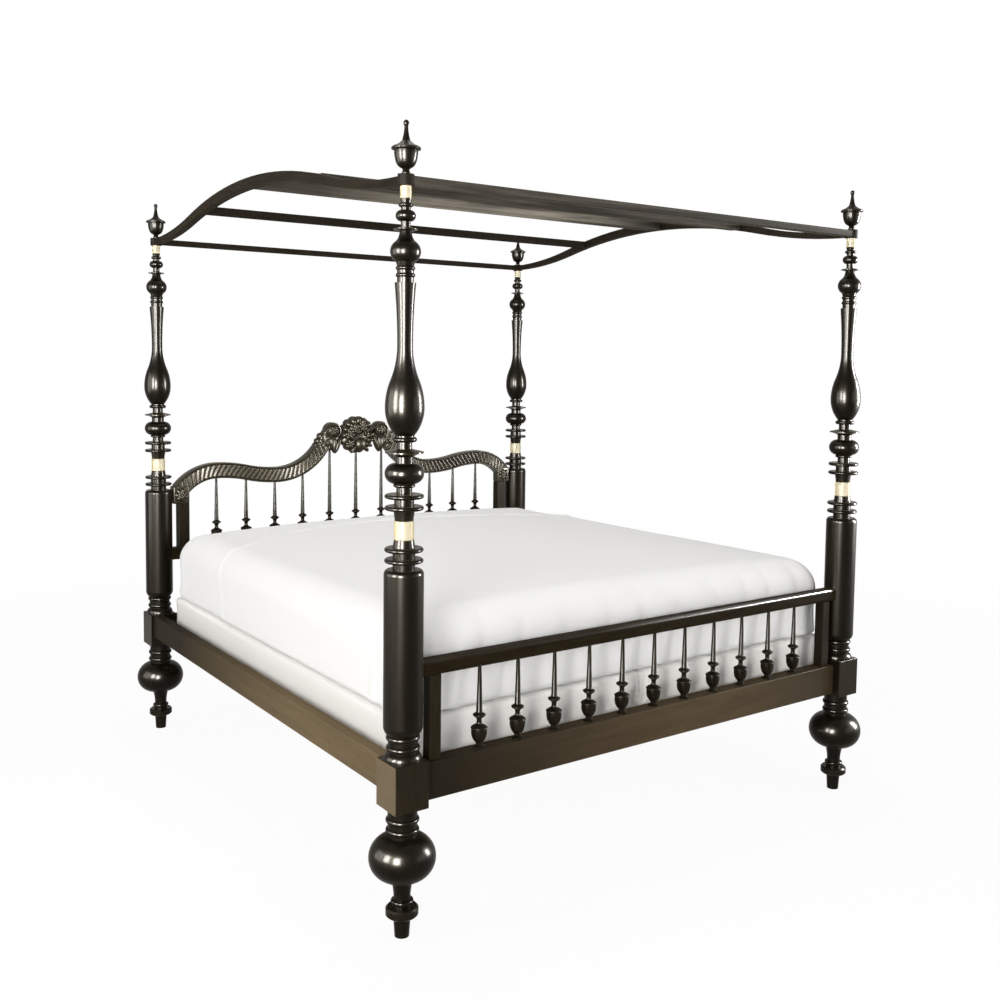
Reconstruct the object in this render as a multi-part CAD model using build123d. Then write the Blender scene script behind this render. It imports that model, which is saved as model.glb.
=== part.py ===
from build123d import *
import os
from math import asin, cos, sin, sqrt

# A king-size four poster bed with a bare tester. X runs across the bed, Y from the foot to the head,
# Z is up, and the origin is on the floor under the middle of the bed. All sizes are in millimetres.

# Plan of the bed: distances between the axes of the posts
POST_SPAN_X = 2000.0
POST_SPAN_Y = 2200.0

# Fits: round glued tenons and let-in pieces, round pins that lift out or off, and under soft pieces
GLUE_GAP = 0.2
LIFT_GAP = 0.3

# Bun foot, from the floor up
FOOT_TIP_RADIUS = 22.0
FOOT_TIP_TOP_RADIUS = 26.0
FOOT_TIP_RISE = 63.0
FOOT_DISC_RADIUS = 49.0
FOOT_DISC_RISE = 18.0
FOOT_DISC_CHAMFER = 5.0
FOOT_RING_NECK_RADIUS = 28.0
FOOT_RING_RISE = 11.0
FOOT_RING_SWELL = 6.0
FOOT_NECK_RADIUS = 25.0
FOOT_NECK_TOP_RADIUS = 34.0
FOOT_NECK_RISE = 62.0
FOOT_NECK_COVE = 2.5
FOOT_BALL_RISE = 132.0
FOOT_BALL_SWELL = 60.0
FOOT_BALL_TOP_RADIUS = 46.0
FOOT_TENON_RADIUS = 20.0
FOOT_TENON_RISE = 50.0

# Pairs of half-round rings above and below the block
RING_NECK_RADIUS = 44.0
RING_RISE = 16.0
RING_SWELL = 6.0
RING_SPACE = 15.0
RING_LEAD = 9.0
FOOT_TOP_NECK_RISE = 29.0

# Lower post: square block, rings, plain column, thin discs
BLOCK_SIDE = 114.0
BLOCK_RISE = 144.0
BLOCK_CHAMFER = 2.0
DOME_RADIUS = 56.0
DOME_RISE = 22.0
DOME_SWELL = 4.0
DOME_NECK_RISE = 5.0
COLUMN_RADIUS = 58.5
COLUMN_RISE = 448.0
COLUMN_HEEL_RISE = 26.0
COLUMN_SHOULDER_RISE = 14.0
COLUMN_SHOULDER_RADIUS = 50.0

# Thin discs on the posts
DISC_RADIUS = 57.0
DISC_RISE = 12.0
DISC_ROUND = 5.0
DISC_NECK_RADIUS = 33.0
DISC_NECK_RISE = 20.0
COLLAR_SEAT_RADIUS = 29.0
COLLAR_SEAT_RISE = 23.0

# Bone collars and the dowels through them
LOWER_COLLAR_RADIUS = 29.0
LOWER_COLLAR_RISE = 55.0
UPPER_COLLAR_RADIUS = 16.5
UPPER_COLLAR_RISE = 36.0
COLLAR_CHAMFER = 1.5
DOWEL_RADIUS = 14.0
DOWEL_DEPTH = 45.0

# Upper post, from the lower collar up
UPPER_SEAT_RADIUS = 27.0
UPPER_FLARE_RADIUS = 31.0
UPPER_FLARE_RISE = 31.0
UPPER_DISC_NECK_RADIUS = 29.0
UPPER_DISC_NECK_RISE = 22.0
BALL_NECK_RADIUS = 23.0
BALL_NECK_RISE = 20.0
BALL_RING_RADIUS = 27.0
BALL_RING_RISE = 10.0
BALL_RING_SWELL = 5.0
BALL_RISE = 60.0
BALL_TOP_RADIUS = 31.0
BALL_SWELL = 28.0
SAUCER_NECK_RADIUS = 26.0
SAUCER_NECK_RISE = 18.0
SAUCER_RADIUS = 56.0
SAUCER_COVE = 6.0
SAUCER_UNDER_RISE = 11.0
SAUCER_EDGE_RISE = 4.0
SAUCER_TOP_RISE = 8.0
BELLY_NECK_RADIUS = 22.0
BELLY_NECK_RISE = 20.0
BELLY_RING_RADIUS = 31.0
BELLY_RING_RISE = 14.0
BELLY_RING_SWELL = 5.0
BELLY_FOOT_RADIUS = 28.0
BELLY_FOOT_RISE = 4.0
BELLY_RADIUS = 57.0
BELLY_RISE = 80.0
BALUSTER_NECK_RADIUS = 22.5
BALUSTER_TAPER_RISE = 178.0
BALUSTER_TAPER_SHARE = 0.45
BALUSTER_LIP_RADIUS = 30.5
BALUSTER_LIP_RISE = 4.0
BALUSTER_FLARE_RISE = 174.0
REED_NECK_RADIUS = 24.0
REED_LEAD_RISE = 15.0
REED_RISE = 12.0
REED_SWELL = 4.0
REED_SPACE = 8.0
ONION_FOOT_RADIUS = 28.0
ONION_FOOT_RISE = 12.0
ONION_RISE = 56.0
ONION_SHOULDER_RADIUS = 30.0
ONION_SWELL = 15.0
ONION_TOP_RADIUS = 19.0
ONION_TOP_RISE = 18.0
ONION_TOP_COVE = 2.0
KNIFE_NECK_RADIUS = 17.0
KNIFE_NECK_RISE = 11.0
KNIFE_RADIUS = 35.0
KNIFE_BEVEL_RISE = 5.0
KNIFE_EDGE_RISE = 2.0
BEAD_NECK_RADIUS = 14.0
BEAD_NECK_RISE = 16.0
BEAD_RISE = 32.0
BEAD_SWELL = 15.0
CAP_NECK_RISE = 8.0
CAP_RING_RISE = 12.0
CAP_RING_SWELL = 7.0
CAP_RADIUS = 17.0
CAP_RISE = 12.0

# Steel pins glued through the tester's eyes: they drop into the posts and carry the finials
PIN_RADIUS = 4.5
PIN_DEPTH = 40.0
PIN_IN_FINIAL = 45.0

# Finial: covered urn with a spire
FINIAL_BASE_RADIUS = 12.0
FINIAL_BASE_RISE = 4.0
FINIAL_NECK_RADIUS = 9.5
FINIAL_NECK_RISE = 8.0
FINIAL_FLARE_RISE = 4.0
URN_BOWL_RADIUS = 29.0
URN_BOWL_RISE = 18.0
URN_BOWL_SWELL = 4.0
URN_RADIUS = 34.0
URN_RISE = 32.0
URN_SWELL = 1.5
URN_RIM_RADIUS = 42.0
URN_RIM_UNDER_RISE = 3.0
URN_RIM_RISE = 5.0
LID_RADIUS = 37.0
LID_EDGE_RISE = 4.0
LID_RISE = 16.0
LID_COVE = 3.5
SPIRE_RADIUS = 12.0
SPIRE_TOP_RADIUS = 5.5
SPIRE_RISE = 41.0
SPIRE_COVE = 1.5
TIP_RISE = 17.0
TIP_SWELL = 4.75
TIP_FLAT_RADIUS = 1.5

# Rails
END_RAIL_LIFT = 11.0
END_RAIL_RISE = 114.0
END_RAIL_THICK = 58.0
SIDE_RAIL_RISE = 99.0
SIDE_RAIL_THICK = 40.0
SIDE_RAIL_RECESS = 12.0
RAIL_EDGE_ROUND = 3.0

# Steel hook plates let into the rail ends
PLATE_THICK = 3.0
PLATE_WIDE = 20.0
PLATE_TALL = 70.0
HOOK_REACH = 14.0
HOOK_THICK = 3.0
HOOK_TALL = 18.0
HOOK_SPACE = 36.0

# Cleats and slats under the foundation
CLEAT_THICK = 30.0
CLEAT_RISE = 25.0
CLEAT_END_GAP = 40.0
SLAT_COUNT = 5
SLAT_WIDE = 90.0
SLAT_THICK = 22.0
SLAT_END_GAP = 2.0
SLAT_EDGE_INSET = 200.0

# Footboard
FOOT_TOP_RAIL_RISE = 49.0
FOOT_TOP_RAIL_THICK = 50.0
FOOT_TOP_RAIL_LIFT = 257.0
FOOT_TOP_RAIL_ROUND = 13.0
FOOT_STILE_SIDE = 40.0
FOOT_STILE_INSET = 80.0

# Headboard
SPINDLE_RAIL_LIFT = 258.0
SPINDLE_RAIL_RISE = 53.0
SPINDLE_RAIL_THICK = 50.0
HEAD_STILE_WIDE = 50.0
HEAD_STILE_THICK = 44.0
HEAD_STILE_RISE = 202.0
HEAD_STILE_INSET = 85.0
CORNER_BLOCK_RISE = 80.0
CORNER_BLOCK_WIDE = 84.0
CORNER_BLOCK_THICK = 58.0
CORNER_BLOCK_ROUND = 8.0
ARCH_DEEP = 72.0
ARCH_THICK = 52.0
ARCH_ROUND = 20.0
ARCH_END_INSET = 97.0
ARCH_END_RISE = 60.0
ARCH_SHOULDER_INSET = 270.0
ARCH_SHOULDER_RISE = 83.0
ARCH_DIP_X = 430.0
ARCH_DIP_DROP = 35.0
ARCH_NECK_X = 205.0
ARCH_NECK_RISE = 112.0
ARCH_NECK_RUN = 116.0
SCROLL_RADIUS = 48.0
SCROLL_THICK = 64.0
SCROLL_ROUND = 10.0
ROSETTE_RADIUS = 30.0
ROSETTE_PROUD = 5.0
PETAL_COUNT = 8
PETAL_RADIUS = 9.0
PETAL_RING = 20.0
FLUTE_PITCH = 24.0
FLUTE_RADIUS = 9.0
FLUTE_DEPTH = 4.0
FLUTE_LONG = 46.0
FLUTE_LEAN = 32.0
FLUTE_LEAD = 50.0
FLUTE_TAIL = 105.0
CREST_RADIUS = 72.0
CREST_THICK = 54.0
CREST_DROP = 33.0
CREST_LOBES = 12
CREST_LOBE_RADIUS = 22.0
CREST_LOBE_RING = 66.0
CREST_EAR_RADIUS = 24.0
CREST_EAR_X = 86.0
CREST_EAR_RISE = 8.0
CREST_DOME_RADIUS = 60.0
CREST_DOME_PROUD = 24.0

# Turned spindles of both boards, from the rail up
SPINDLE_COUNT = 11
SPINDLE_PITCH = 146.0
SPINDLE_PEG_RADIUS = 6.0
SPINDLE_PEG_DEPTH = 12.0
SPINDLE_FOOT_RADIUS = 19.0
SPINDLE_FOOT_RISE = 4.0
SPINDLE_STEM_RADIUS = 10.0
SPINDLE_STEM_RISE = 10.0
SPINDLE_STEM_COVE = 2.0
SPINDLE_URN_RADIUS = 24.0
SPINDLE_URN_RISE = 44.0
SPINDLE_URN_SWELL = 4.0
SPINDLE_RIM_RADIUS = 26.0
SPINDLE_RIM_RISE = 3.0
SPINDLE_LID_RISE = 9.0
SPINDLE_LID_SWELL = 2.5
SPINDLE_NECK_RADIUS = 8.0
SPINDLE_NECK_RISE = 18.0
SPINDLE_RING_RADIUS = 20.5
SPINDLE_RING_RISE = 10.0
SPINDLE_SHAFT_RADIUS = 9.5
SPINDLE_TOP_RADIUS = 5.0
SPINDLE_SOCKET = 15.0

# Tester: two ogee arches with an eye at each end, and five cross pieces
EYE_RADIUS = 24.0
EYE_RISE = 32.0
TESTER_ARCH_WIDE = 32.0
TESTER_ARCH_END_DEEP = 23.0
TESTER_ARCH_CROWN_DEEP = 37.0
TESTER_ARCH_RISE = 134.0
TESTER_ARCH_SHARE = 0.58
TESTER_RAIL_WIDE = 36.0
TESTER_RAIL_THICK = 24.0
TESTER_SLAT_WIDE = 50.0
TESTER_SLAT_THICK = 30.0
TESTER_SLAT_Y = 512.0
CROWN_SLAT_WIDE = 90.0
CROWN_SLAT_THICK = 34.0
TESTER_TENON_REACH = 12.0
TESTER_TENON_SHOULDER = 5.0
TESTER_EDGE_ROUND = 3.0

# Foundation and mattress
FOUNDATION_RISE = 135.5
FOUNDATION_MIDDLE_GAP = 3.0
FOUNDATION_CORNER = 16.0
FOUNDATION_SOFTNESS = 10.0
BED_INSET_X = 35.0
BED_INSET_FOOT = 64.0
BED_INSET_HEAD = 106.0
MATTRESS_EDGE_RISE = 262.0
MATTRESS_CORNER = 50.0
MATTRESS_WAIST = 10.0
MATTRESS_PULL = 6.0
MATTRESS_CROWN = 38.0


def cut_edges(height, radius, cuts, place):
    """Edges of an outline: each cut is (rise, radius), or (rise, radius, swell) for an arc."""
    edges = []
    for rise, end, *swell in cuts:
        start = place(radius, height)
        finish = place(end, height + rise)
        if swell:
            middle = place((radius + end) / 2 + swell[0], height + rise / 2)
            edges.append(Edge.make_three_point_arc(start, middle, finish))
        else:
            edges.append(Edge.make_line(start, finish))
        radius = end
        height = height + rise
    return edges


def ogee(rise, start, end, share):
    """One or two tangent arcs, square to the radius at both ends, that turn over at the share."""
    reach = end - start
    span = (reach**2 + rise**2) / (2 * abs(reach))
    cuts = []
    if share > 0:
        radius = share * span
        sag = radius - sqrt(radius**2 - (share * rise / 2) ** 2)
        swell = sag * reach / abs(reach) - share * reach / 2
        cuts.append((share * rise, start + share * reach, swell))
    if share < 1:
        rest = 1 - share
        radius = rest * span
        sag = radius - sqrt(radius**2 - (rest * rise / 2) ** 2)
        swell = rest * reach / 2 - sag * reach / abs(reach)
        cuts.append((rest * rise, end, swell))
    return cuts


def rise_of(cuts):
    return sum(cut[0] for cut in cuts)


def turning(base, radius, cuts):
    """A solid turned about the Z axis, cut from the height base upwards."""
    outline = [Edge.make_line((0, 0, base), (radius, 0, base))]
    outline += cut_edges(base, radius, cuts, lambda r, z: (r, 0, z))
    top = base + rise_of(cuts)
    top_radius = cuts[-1][1]
    outline.append(Edge.make_line((top_radius, 0, top), (0, 0, top)))
    outline.append(Edge.make_line((0, 0, top), (0, 0, base)))
    return revolve(make_face(outline), Axis.Z)


def rod(radius, base, top):
    return Pos(0, 0, (base + top) / 2) * Cylinder(radius, top - base)


def board(x_range, y_range, z_range):
    """A plain board between the given limits."""
    sizes = [high - low for low, high in (x_range, y_range, z_range)]
    middle = [(low + high) / 2 for low, high in (x_range, y_range, z_range)]
    return Pos(*middle) * Box(*sizes)


def eased(shape, axis, radius):
    """The same board with its long edges rounded."""
    return fillet(shape.edges().filter_by(axis), radius)


def about(middle, size):
    return (middle - size / 2, middle + size / 2)


def thin_disc(neck):
    """A thin disc with a rounded edge, back to the neck above it."""
    rim = DISC_RADIUS - DISC_ROUND
    return [(0, rim), (DISC_RISE, rim, DISC_ROUND), (0, neck)]


def ring_pair():
    ring = (RING_RISE, RING_NECK_RADIUS, RING_SWELL)
    return [ring, (RING_SPACE, RING_NECK_RADIUS), ring]


def save(name, shape):
    export_step(shape, f"parts/{name}.step")


os.makedirs("parts", exist_ok=True)

POST_X = POST_SPAN_X / 2
POST_Y = POST_SPAN_Y / 2
SIDES = {"left": -1, "right": 1}
ENDS = {"foot": -1, "head": 1}
BLOCK_HALF = BLOCK_SIDE / 2


# Bun feet: turned apart from the posts, because the ball is wider than the block, and pegged in
foot_cuts = [
    (FOOT_TIP_RISE, FOOT_TIP_TOP_RADIUS),
    (0, FOOT_DISC_RADIUS - FOOT_DISC_CHAMFER),
    (FOOT_DISC_CHAMFER, FOOT_DISC_RADIUS),
    (FOOT_DISC_RISE, FOOT_DISC_RADIUS),
    (FOOT_DISC_CHAMFER, FOOT_DISC_RADIUS - FOOT_DISC_CHAMFER),
    (0, FOOT_RING_NECK_RADIUS),
    (FOOT_RING_RISE, FOOT_RING_NECK_RADIUS),
    (FOOT_RING_RISE, FOOT_RING_NECK_RADIUS, FOOT_RING_SWELL),
    (0, FOOT_NECK_RADIUS),
    (FOOT_NECK_RISE, FOOT_NECK_TOP_RADIUS, -FOOT_NECK_COVE),
    (FOOT_BALL_RISE, FOOT_BALL_TOP_RADIUS, FOOT_BALL_SWELL),
    (0, RING_NECK_RADIUS),
    (RING_LEAD, RING_NECK_RADIUS),
    *ring_pair(),
    (FOOT_TOP_NECK_RISE, RING_NECK_RADIUS),
]
BLOCK_BASE = rise_of(foot_cuts)
bun_foot = turning(0, FOOT_TIP_RADIUS, foot_cuts)
bun_foot += rod(FOOT_TENON_RADIUS, BLOCK_BASE, BLOCK_BASE + FOOT_TENON_RISE)


# Rail heights hang on the block: the side rails are flush with its top, the end rails stand lower
BLOCK_TOP = BLOCK_BASE + BLOCK_RISE
END_RAIL_BASE = BLOCK_BASE + END_RAIL_LIFT
END_RAIL_TOP = END_RAIL_BASE + END_RAIL_RISE
SIDE_RAIL_BASE = BLOCK_TOP - SIDE_RAIL_RISE
SIDE_RAIL_X = POST_X + BLOCK_HALF - SIDE_RAIL_RECESS - SIDE_RAIL_THICK / 2
RAIL_END_X = POST_X - BLOCK_HALF
RAIL_END_Y = POST_Y - BLOCK_HALF


def plate_and_hooks(gap):
    """A hook plate on the plane X=0, with its hooks towards +X, grown all round by the gap."""
    plate = board((-PLATE_THICK - gap, gap), about(0, PLATE_WIDE + 2 * gap), about(0, PLATE_TALL + 2 * gap))
    for height in (-HOOK_SPACE / 2, HOOK_SPACE / 2):
        hook_z = about(height, HOOK_TALL + 2 * gap)
        plate += board((0, HOOK_REACH + gap), about(0, HOOK_THICK + 2 * gap), hook_z)
    return plate


def rail_ends():
    """Where each hook plate sits: a location whose X axis points into the block."""
    end_z = END_RAIL_BASE + END_RAIL_RISE / 2
    side_z = SIDE_RAIL_BASE + SIDE_RAIL_RISE / 2
    places = []
    for side in SIDES.values():
        for end in ENDS.values():
            places.append(Pos(side * RAIL_END_X, end * POST_Y, end_z) * Rot(0, 0, 90 - 90 * side))
            places.append(Pos(side * SIDE_RAIL_X, end * RAIL_END_Y, side_z) * Rot(0, 0, 90 * end))
    return places


hook_plate = plate_and_hooks(0)
hook_pockets = [place * plate_and_hooks(GLUE_GAP) for place in rail_ends()]


# Lower posts: block, rings and column, bored below for the foot and above for the dowel
column_cuts = [
    (DOME_RISE, RING_NECK_RADIUS, DOME_SWELL),
    (DOME_NECK_RISE, RING_NECK_RADIUS),
    *ring_pair(),
    *ogee(COLUMN_HEEL_RISE, RING_NECK_RADIUS, COLUMN_RADIUS, 0),
    (COLUMN_RISE, COLUMN_RADIUS),
    *ogee(COLUMN_SHOULDER_RISE, COLUMN_RADIUS, COLUMN_SHOULDER_RADIUS, 1),
    (0, DISC_NECK_RADIUS),
    (DISC_NECK_RISE, DISC_NECK_RADIUS),
    *thin_disc(DISC_NECK_RADIUS),
    (DISC_NECK_RISE, DISC_NECK_RADIUS),
    *thin_disc(DISC_NECK_RADIUS),
    (COLLAR_SEAT_RISE, COLLAR_SEAT_RADIUS),
]
LOWER_TOP = BLOCK_TOP + rise_of(column_cuts)
block = board(about(0, BLOCK_SIDE), about(0, BLOCK_SIDE), (BLOCK_BASE, BLOCK_TOP))
block = chamfer(block.edges(), BLOCK_CHAMFER)
lower_post = block + turning(BLOCK_TOP, DOME_RADIUS, column_cuts)
lower_post -= rod(FOOT_TENON_RADIUS + GLUE_GAP, BLOCK_BASE, BLOCK_BASE + FOOT_TENON_RISE + GLUE_GAP)
lower_post -= rod(DOWEL_RADIUS + GLUE_GAP, LOWER_TOP - DOWEL_DEPTH, LOWER_TOP)


# Collars: bone rings threaded on the dowels, and round the holes for the pins
def collar(radius, base, rise, bore):
    cuts = [
        (COLLAR_CHAMFER, radius),
        (rise - 2 * COLLAR_CHAMFER, radius),
        (COLLAR_CHAMFER, radius - COLLAR_CHAMFER),
    ]
    return turning(base, radius - COLLAR_CHAMFER, cuts) - rod(bore, base, base + rise)


lower_collar = collar(LOWER_COLLAR_RADIUS, LOWER_TOP, LOWER_COLLAR_RISE, DOWEL_RADIUS + GLUE_GAP)


# Upper posts: discs, ball and saucer, then the long baluster and its onion-topped neck
UPPER_BASE = LOWER_TOP + LOWER_COLLAR_RISE
reed = (REED_RISE, REED_NECK_RADIUS, REED_SWELL)
upper_cuts = [
    (UPPER_FLARE_RISE, UPPER_FLARE_RADIUS),
    *thin_disc(UPPER_DISC_NECK_RADIUS),
    (UPPER_DISC_NECK_RISE, UPPER_DISC_NECK_RADIUS),
    *thin_disc(BALL_NECK_RADIUS),
    (BALL_NECK_RISE, BALL_NECK_RADIUS),
    (0, BALL_RING_RADIUS),
    (BALL_RING_RISE, BALL_RING_RADIUS, BALL_RING_SWELL),
    (BALL_RISE, BALL_TOP_RADIUS, BALL_SWELL),
    (0, SAUCER_NECK_RADIUS),
    (SAUCER_NECK_RISE, SAUCER_NECK_RADIUS),
    (SAUCER_UNDER_RISE, SAUCER_RADIUS, -SAUCER_COVE),
    (SAUCER_EDGE_RISE, SAUCER_RADIUS),
    (SAUCER_TOP_RISE, BELLY_NECK_RADIUS),
    (BELLY_NECK_RISE, BELLY_NECK_RADIUS),
    (0, BELLY_RING_RADIUS),
    (BELLY_RING_RISE, BELLY_RING_RADIUS, BELLY_RING_SWELL),
    (0, BELLY_FOOT_RADIUS),
    (BELLY_FOOT_RISE, BELLY_FOOT_RADIUS),
    *ogee(BELLY_RISE, BELLY_FOOT_RADIUS, BELLY_RADIUS, 0),
    *ogee(BALUSTER_TAPER_RISE, BELLY_RADIUS, BALUSTER_NECK_RADIUS, BALUSTER_TAPER_SHARE),
    *ogee(BALUSTER_FLARE_RISE, BALUSTER_NECK_RADIUS, BALUSTER_LIP_RADIUS, 1),
    (BALUSTER_LIP_RISE, BALUSTER_LIP_RADIUS),
    (0, REED_NECK_RADIUS),
    (REED_LEAD_RISE, REED_NECK_RADIUS),
    reed,
    (REED_SPACE, REED_NECK_RADIUS),
    reed,
    (ONION_FOOT_RISE, ONION_FOOT_RADIUS),
    (ONION_RISE, ONION_SHOULDER_RADIUS, ONION_SWELL),
    (ONION_TOP_RISE, ONION_TOP_RADIUS, -ONION_TOP_COVE),
    (KNIFE_NECK_RISE, KNIFE_NECK_RADIUS),
    (KNIFE_BEVEL_RISE, KNIFE_RADIUS),
    (KNIFE_EDGE_RISE, KNIFE_RADIUS),
    (KNIFE_BEVEL_RISE, BEAD_NECK_RADIUS),
    (BEAD_NECK_RISE, BEAD_NECK_RADIUS),
    (BEAD_RISE, BEAD_NECK_RADIUS, BEAD_SWELL),
    (CAP_NECK_RISE, BEAD_NECK_RADIUS),
    (CAP_RING_RISE, BEAD_NECK_RADIUS, CAP_RING_SWELL),
    (CAP_RISE, CAP_RADIUS),
]
UPPER_TOP = UPPER_BASE + rise_of(upper_cuts)
upper_post = turning(UPPER_BASE, UPPER_SEAT_RADIUS, upper_cuts)
upper_post -= rod(DOWEL_RADIUS + GLUE_GAP, UPPER_BASE, UPPER_BASE + DOWEL_DEPTH)
upper_post -= rod(PIN_RADIUS + LIFT_GAP, UPPER_TOP - PIN_DEPTH - LIFT_GAP, UPPER_TOP)
dowel = rod(DOWEL_RADIUS, LOWER_TOP - DOWEL_DEPTH, UPPER_BASE + DOWEL_DEPTH)

upper_collar = collar(UPPER_COLLAR_RADIUS, UPPER_TOP, UPPER_COLLAR_RISE, PIN_RADIUS + LIFT_GAP)
EYE_BASE = UPPER_TOP + UPPER_COLLAR_RISE
EYE_TOP = EYE_BASE + EYE_RISE
pin = rod(PIN_RADIUS, UPPER_TOP - PIN_DEPTH, EYE_TOP + PIN_IN_FINIAL)


# Finials: covered urns, bored from below for the pins
finial_cuts = [
    (FINIAL_BASE_RISE, FINIAL_BASE_RADIUS),
    (FINIAL_NECK_RISE, FINIAL_NECK_RADIUS),
    (FINIAL_FLARE_RISE, FINIAL_BASE_RADIUS),
    (URN_BOWL_RISE, URN_BOWL_RADIUS, URN_BOWL_SWELL),
    (URN_RISE, URN_RADIUS, URN_SWELL),
    (URN_RIM_UNDER_RISE, URN_RIM_RADIUS),
    (URN_RIM_RISE, URN_RIM_RADIUS),
    (LID_EDGE_RISE, LID_RADIUS),
    (LID_RISE, SPIRE_RADIUS, -LID_COVE),
    (SPIRE_RISE, SPIRE_TOP_RADIUS, -SPIRE_COVE),
    (TIP_RISE, TIP_FLAT_RADIUS, TIP_SWELL),
]
finial = turning(EYE_TOP, FINIAL_BASE_RADIUS, finial_cuts)
finial -= rod(PIN_RADIUS + LIFT_GAP, EYE_TOP, EYE_TOP + PIN_IN_FINIAL + LIFT_GAP)


# The pieces of each post in their four places, the blocks slotted for the hooks of their two rails
post_places = {}
for end_name, end in ENDS.items():
    for side_name, side in SIDES.items():
        corner = f"{end_name}_{side_name}"
        place = Pos(side * POST_X, end * POST_Y, 0)
        post_places[corner] = place
        slotted_post = place * lower_post
        for pocket in hook_pockets:
            if pocket.center().X * side > 0 and pocket.center().Y * end > 0:
                slotted_post -= pocket
        save(f"{corner}_bun_foot", place * bun_foot)
        save(f"{corner}_lower_post", slotted_post)
        save(f"{corner}_lower_collar", place * lower_collar)
        save(f"{corner}_upper_post", place * upper_post)
        save(f"{corner}_upper_collar", place * upper_collar)
        save(f"{corner}_finial", place * finial)

save("post_dowels", Compound([place * dowel for place in post_places.values()]))
save("tester_pins", Compound([place * pin for place in post_places.values()]))
save("rail_hook_plates", Compound([place * hook_plate for place in rail_ends()]))


# Spindles: a gadrooned urn on a small foot, a ring, and a shaft that thins upwards
spindle_xs = [(number - (SPINDLE_COUNT - 1) / 2) * SPINDLE_PITCH for number in range(SPINDLE_COUNT)]
spindle_cuts = [
    (SPINDLE_FOOT_RISE, SPINDLE_FOOT_RADIUS),
    (SPINDLE_STEM_RISE, SPINDLE_STEM_RADIUS, -SPINDLE_STEM_COVE),
    (SPINDLE_URN_RISE, SPINDLE_URN_RADIUS, SPINDLE_URN_SWELL),
    (SPINDLE_RIM_RISE, SPINDLE_RIM_RADIUS),
    (SPINDLE_RIM_RISE, SPINDLE_RIM_RADIUS),
    (SPINDLE_LID_RISE, SPINDLE_NECK_RADIUS, SPINDLE_LID_SWELL),
    (SPINDLE_NECK_RISE, SPINDLE_NECK_RADIUS),
    (SPINDLE_RING_RISE, SPINDLE_RING_RADIUS),
    (SPINDLE_RING_RISE, SPINDLE_SHAFT_RADIUS),
]


def spindle(base, top):
    """One spindle from a rail at the height base up to its blind end at the height top."""
    shaft = top - SPINDLE_SOCKET - base - rise_of(spindle_cuts)
    cuts = spindle_cuts + [(shaft, SPINDLE_TOP_RADIUS), (SPINDLE_SOCKET, SPINDLE_TOP_RADIUS)]
    peg = rod(SPINDLE_PEG_RADIUS, base - SPINDLE_PEG_DEPTH, base)
    return turning(base, SPINDLE_FOOT_RADIUS, cuts) + peg


def peg_hole(top):
    return rod(SPINDLE_PEG_RADIUS + GLUE_GAP, top - SPINDLE_PEG_DEPTH - GLUE_GAP, top)


def socket(top):
    depth = 2 * SPINDLE_SOCKET + ARCH_DEEP / 2
    return rod(SPINDLE_TOP_RADIUS + GLUE_GAP, top - depth, top + GLUE_GAP)


# End rails: the same rail at the foot and at the head, drilled at the foot for the spindles
for end_name, end in ENDS.items():
    rail = board(
        (-RAIL_END_X, RAIL_END_X),
        about(end * POST_Y, END_RAIL_THICK),
        (END_RAIL_BASE, END_RAIL_TOP),
    )
    rail = eased(rail, Axis.X, RAIL_EDGE_ROUND)
    for pocket in hook_pockets:
        if pocket.center().Y * end > RAIL_END_Y:
            rail -= pocket
    if end_name == "foot":
        rail -= [Pos(x, -POST_Y, 0) * peg_hole(END_RAIL_TOP) for x in spindle_xs]
    save(f"{end_name}_rail", rail)


# Side rails, and the cleats on their inner faces that carry the slats
CLEAT_TOP = SIDE_RAIL_BASE + CLEAT_RISE
RAIL_INSIDE_X = SIDE_RAIL_X - SIDE_RAIL_THICK / 2
RAIL_INSIDE_Y = POST_Y - END_RAIL_THICK / 2
for side_name, side in SIDES.items():
    rail = board(
        about(side * SIDE_RAIL_X, SIDE_RAIL_THICK),
        (-RAIL_END_Y, RAIL_END_Y),
        (SIDE_RAIL_BASE, BLOCK_TOP),
    )
    rail = eased(rail, Axis.Y, RAIL_EDGE_ROUND)
    for pocket in hook_pockets:
        if pocket.center().X * side > RAIL_END_X and abs(pocket.center().Y) < POST_Y - BLOCK_HALF / 2:
            rail -= pocket
    cleat_end = RAIL_INSIDE_Y - CLEAT_END_GAP
    cleat = board(
        about(side * (RAIL_INSIDE_X - CLEAT_THICK / 2), CLEAT_THICK),
        (-cleat_end, cleat_end),
        (SIDE_RAIL_BASE + RAIL_EDGE_ROUND, CLEAT_TOP),
    )
    save(f"{side_name}_side_rail", rail)
    save(f"{side_name}_cleat", cleat)

SLAT_TOP = CLEAT_TOP + SLAT_THICK
slat_end = RAIL_INSIDE_X - SLAT_END_GAP
slat_reach = RAIL_INSIDE_Y - SLAT_EDGE_INSET
slats = []
for number in range(SLAT_COUNT):
    slat_y = slat_reach * (2 * number / (SLAT_COUNT - 1) - 1)
    slat = board((-slat_end, slat_end), about(slat_y, SLAT_WIDE), (CLEAT_TOP, SLAT_TOP))
    slats.append(eased(slat, Axis.X, RAIL_EDGE_ROUND))
save("bed_slats", Compound(slats))


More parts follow.
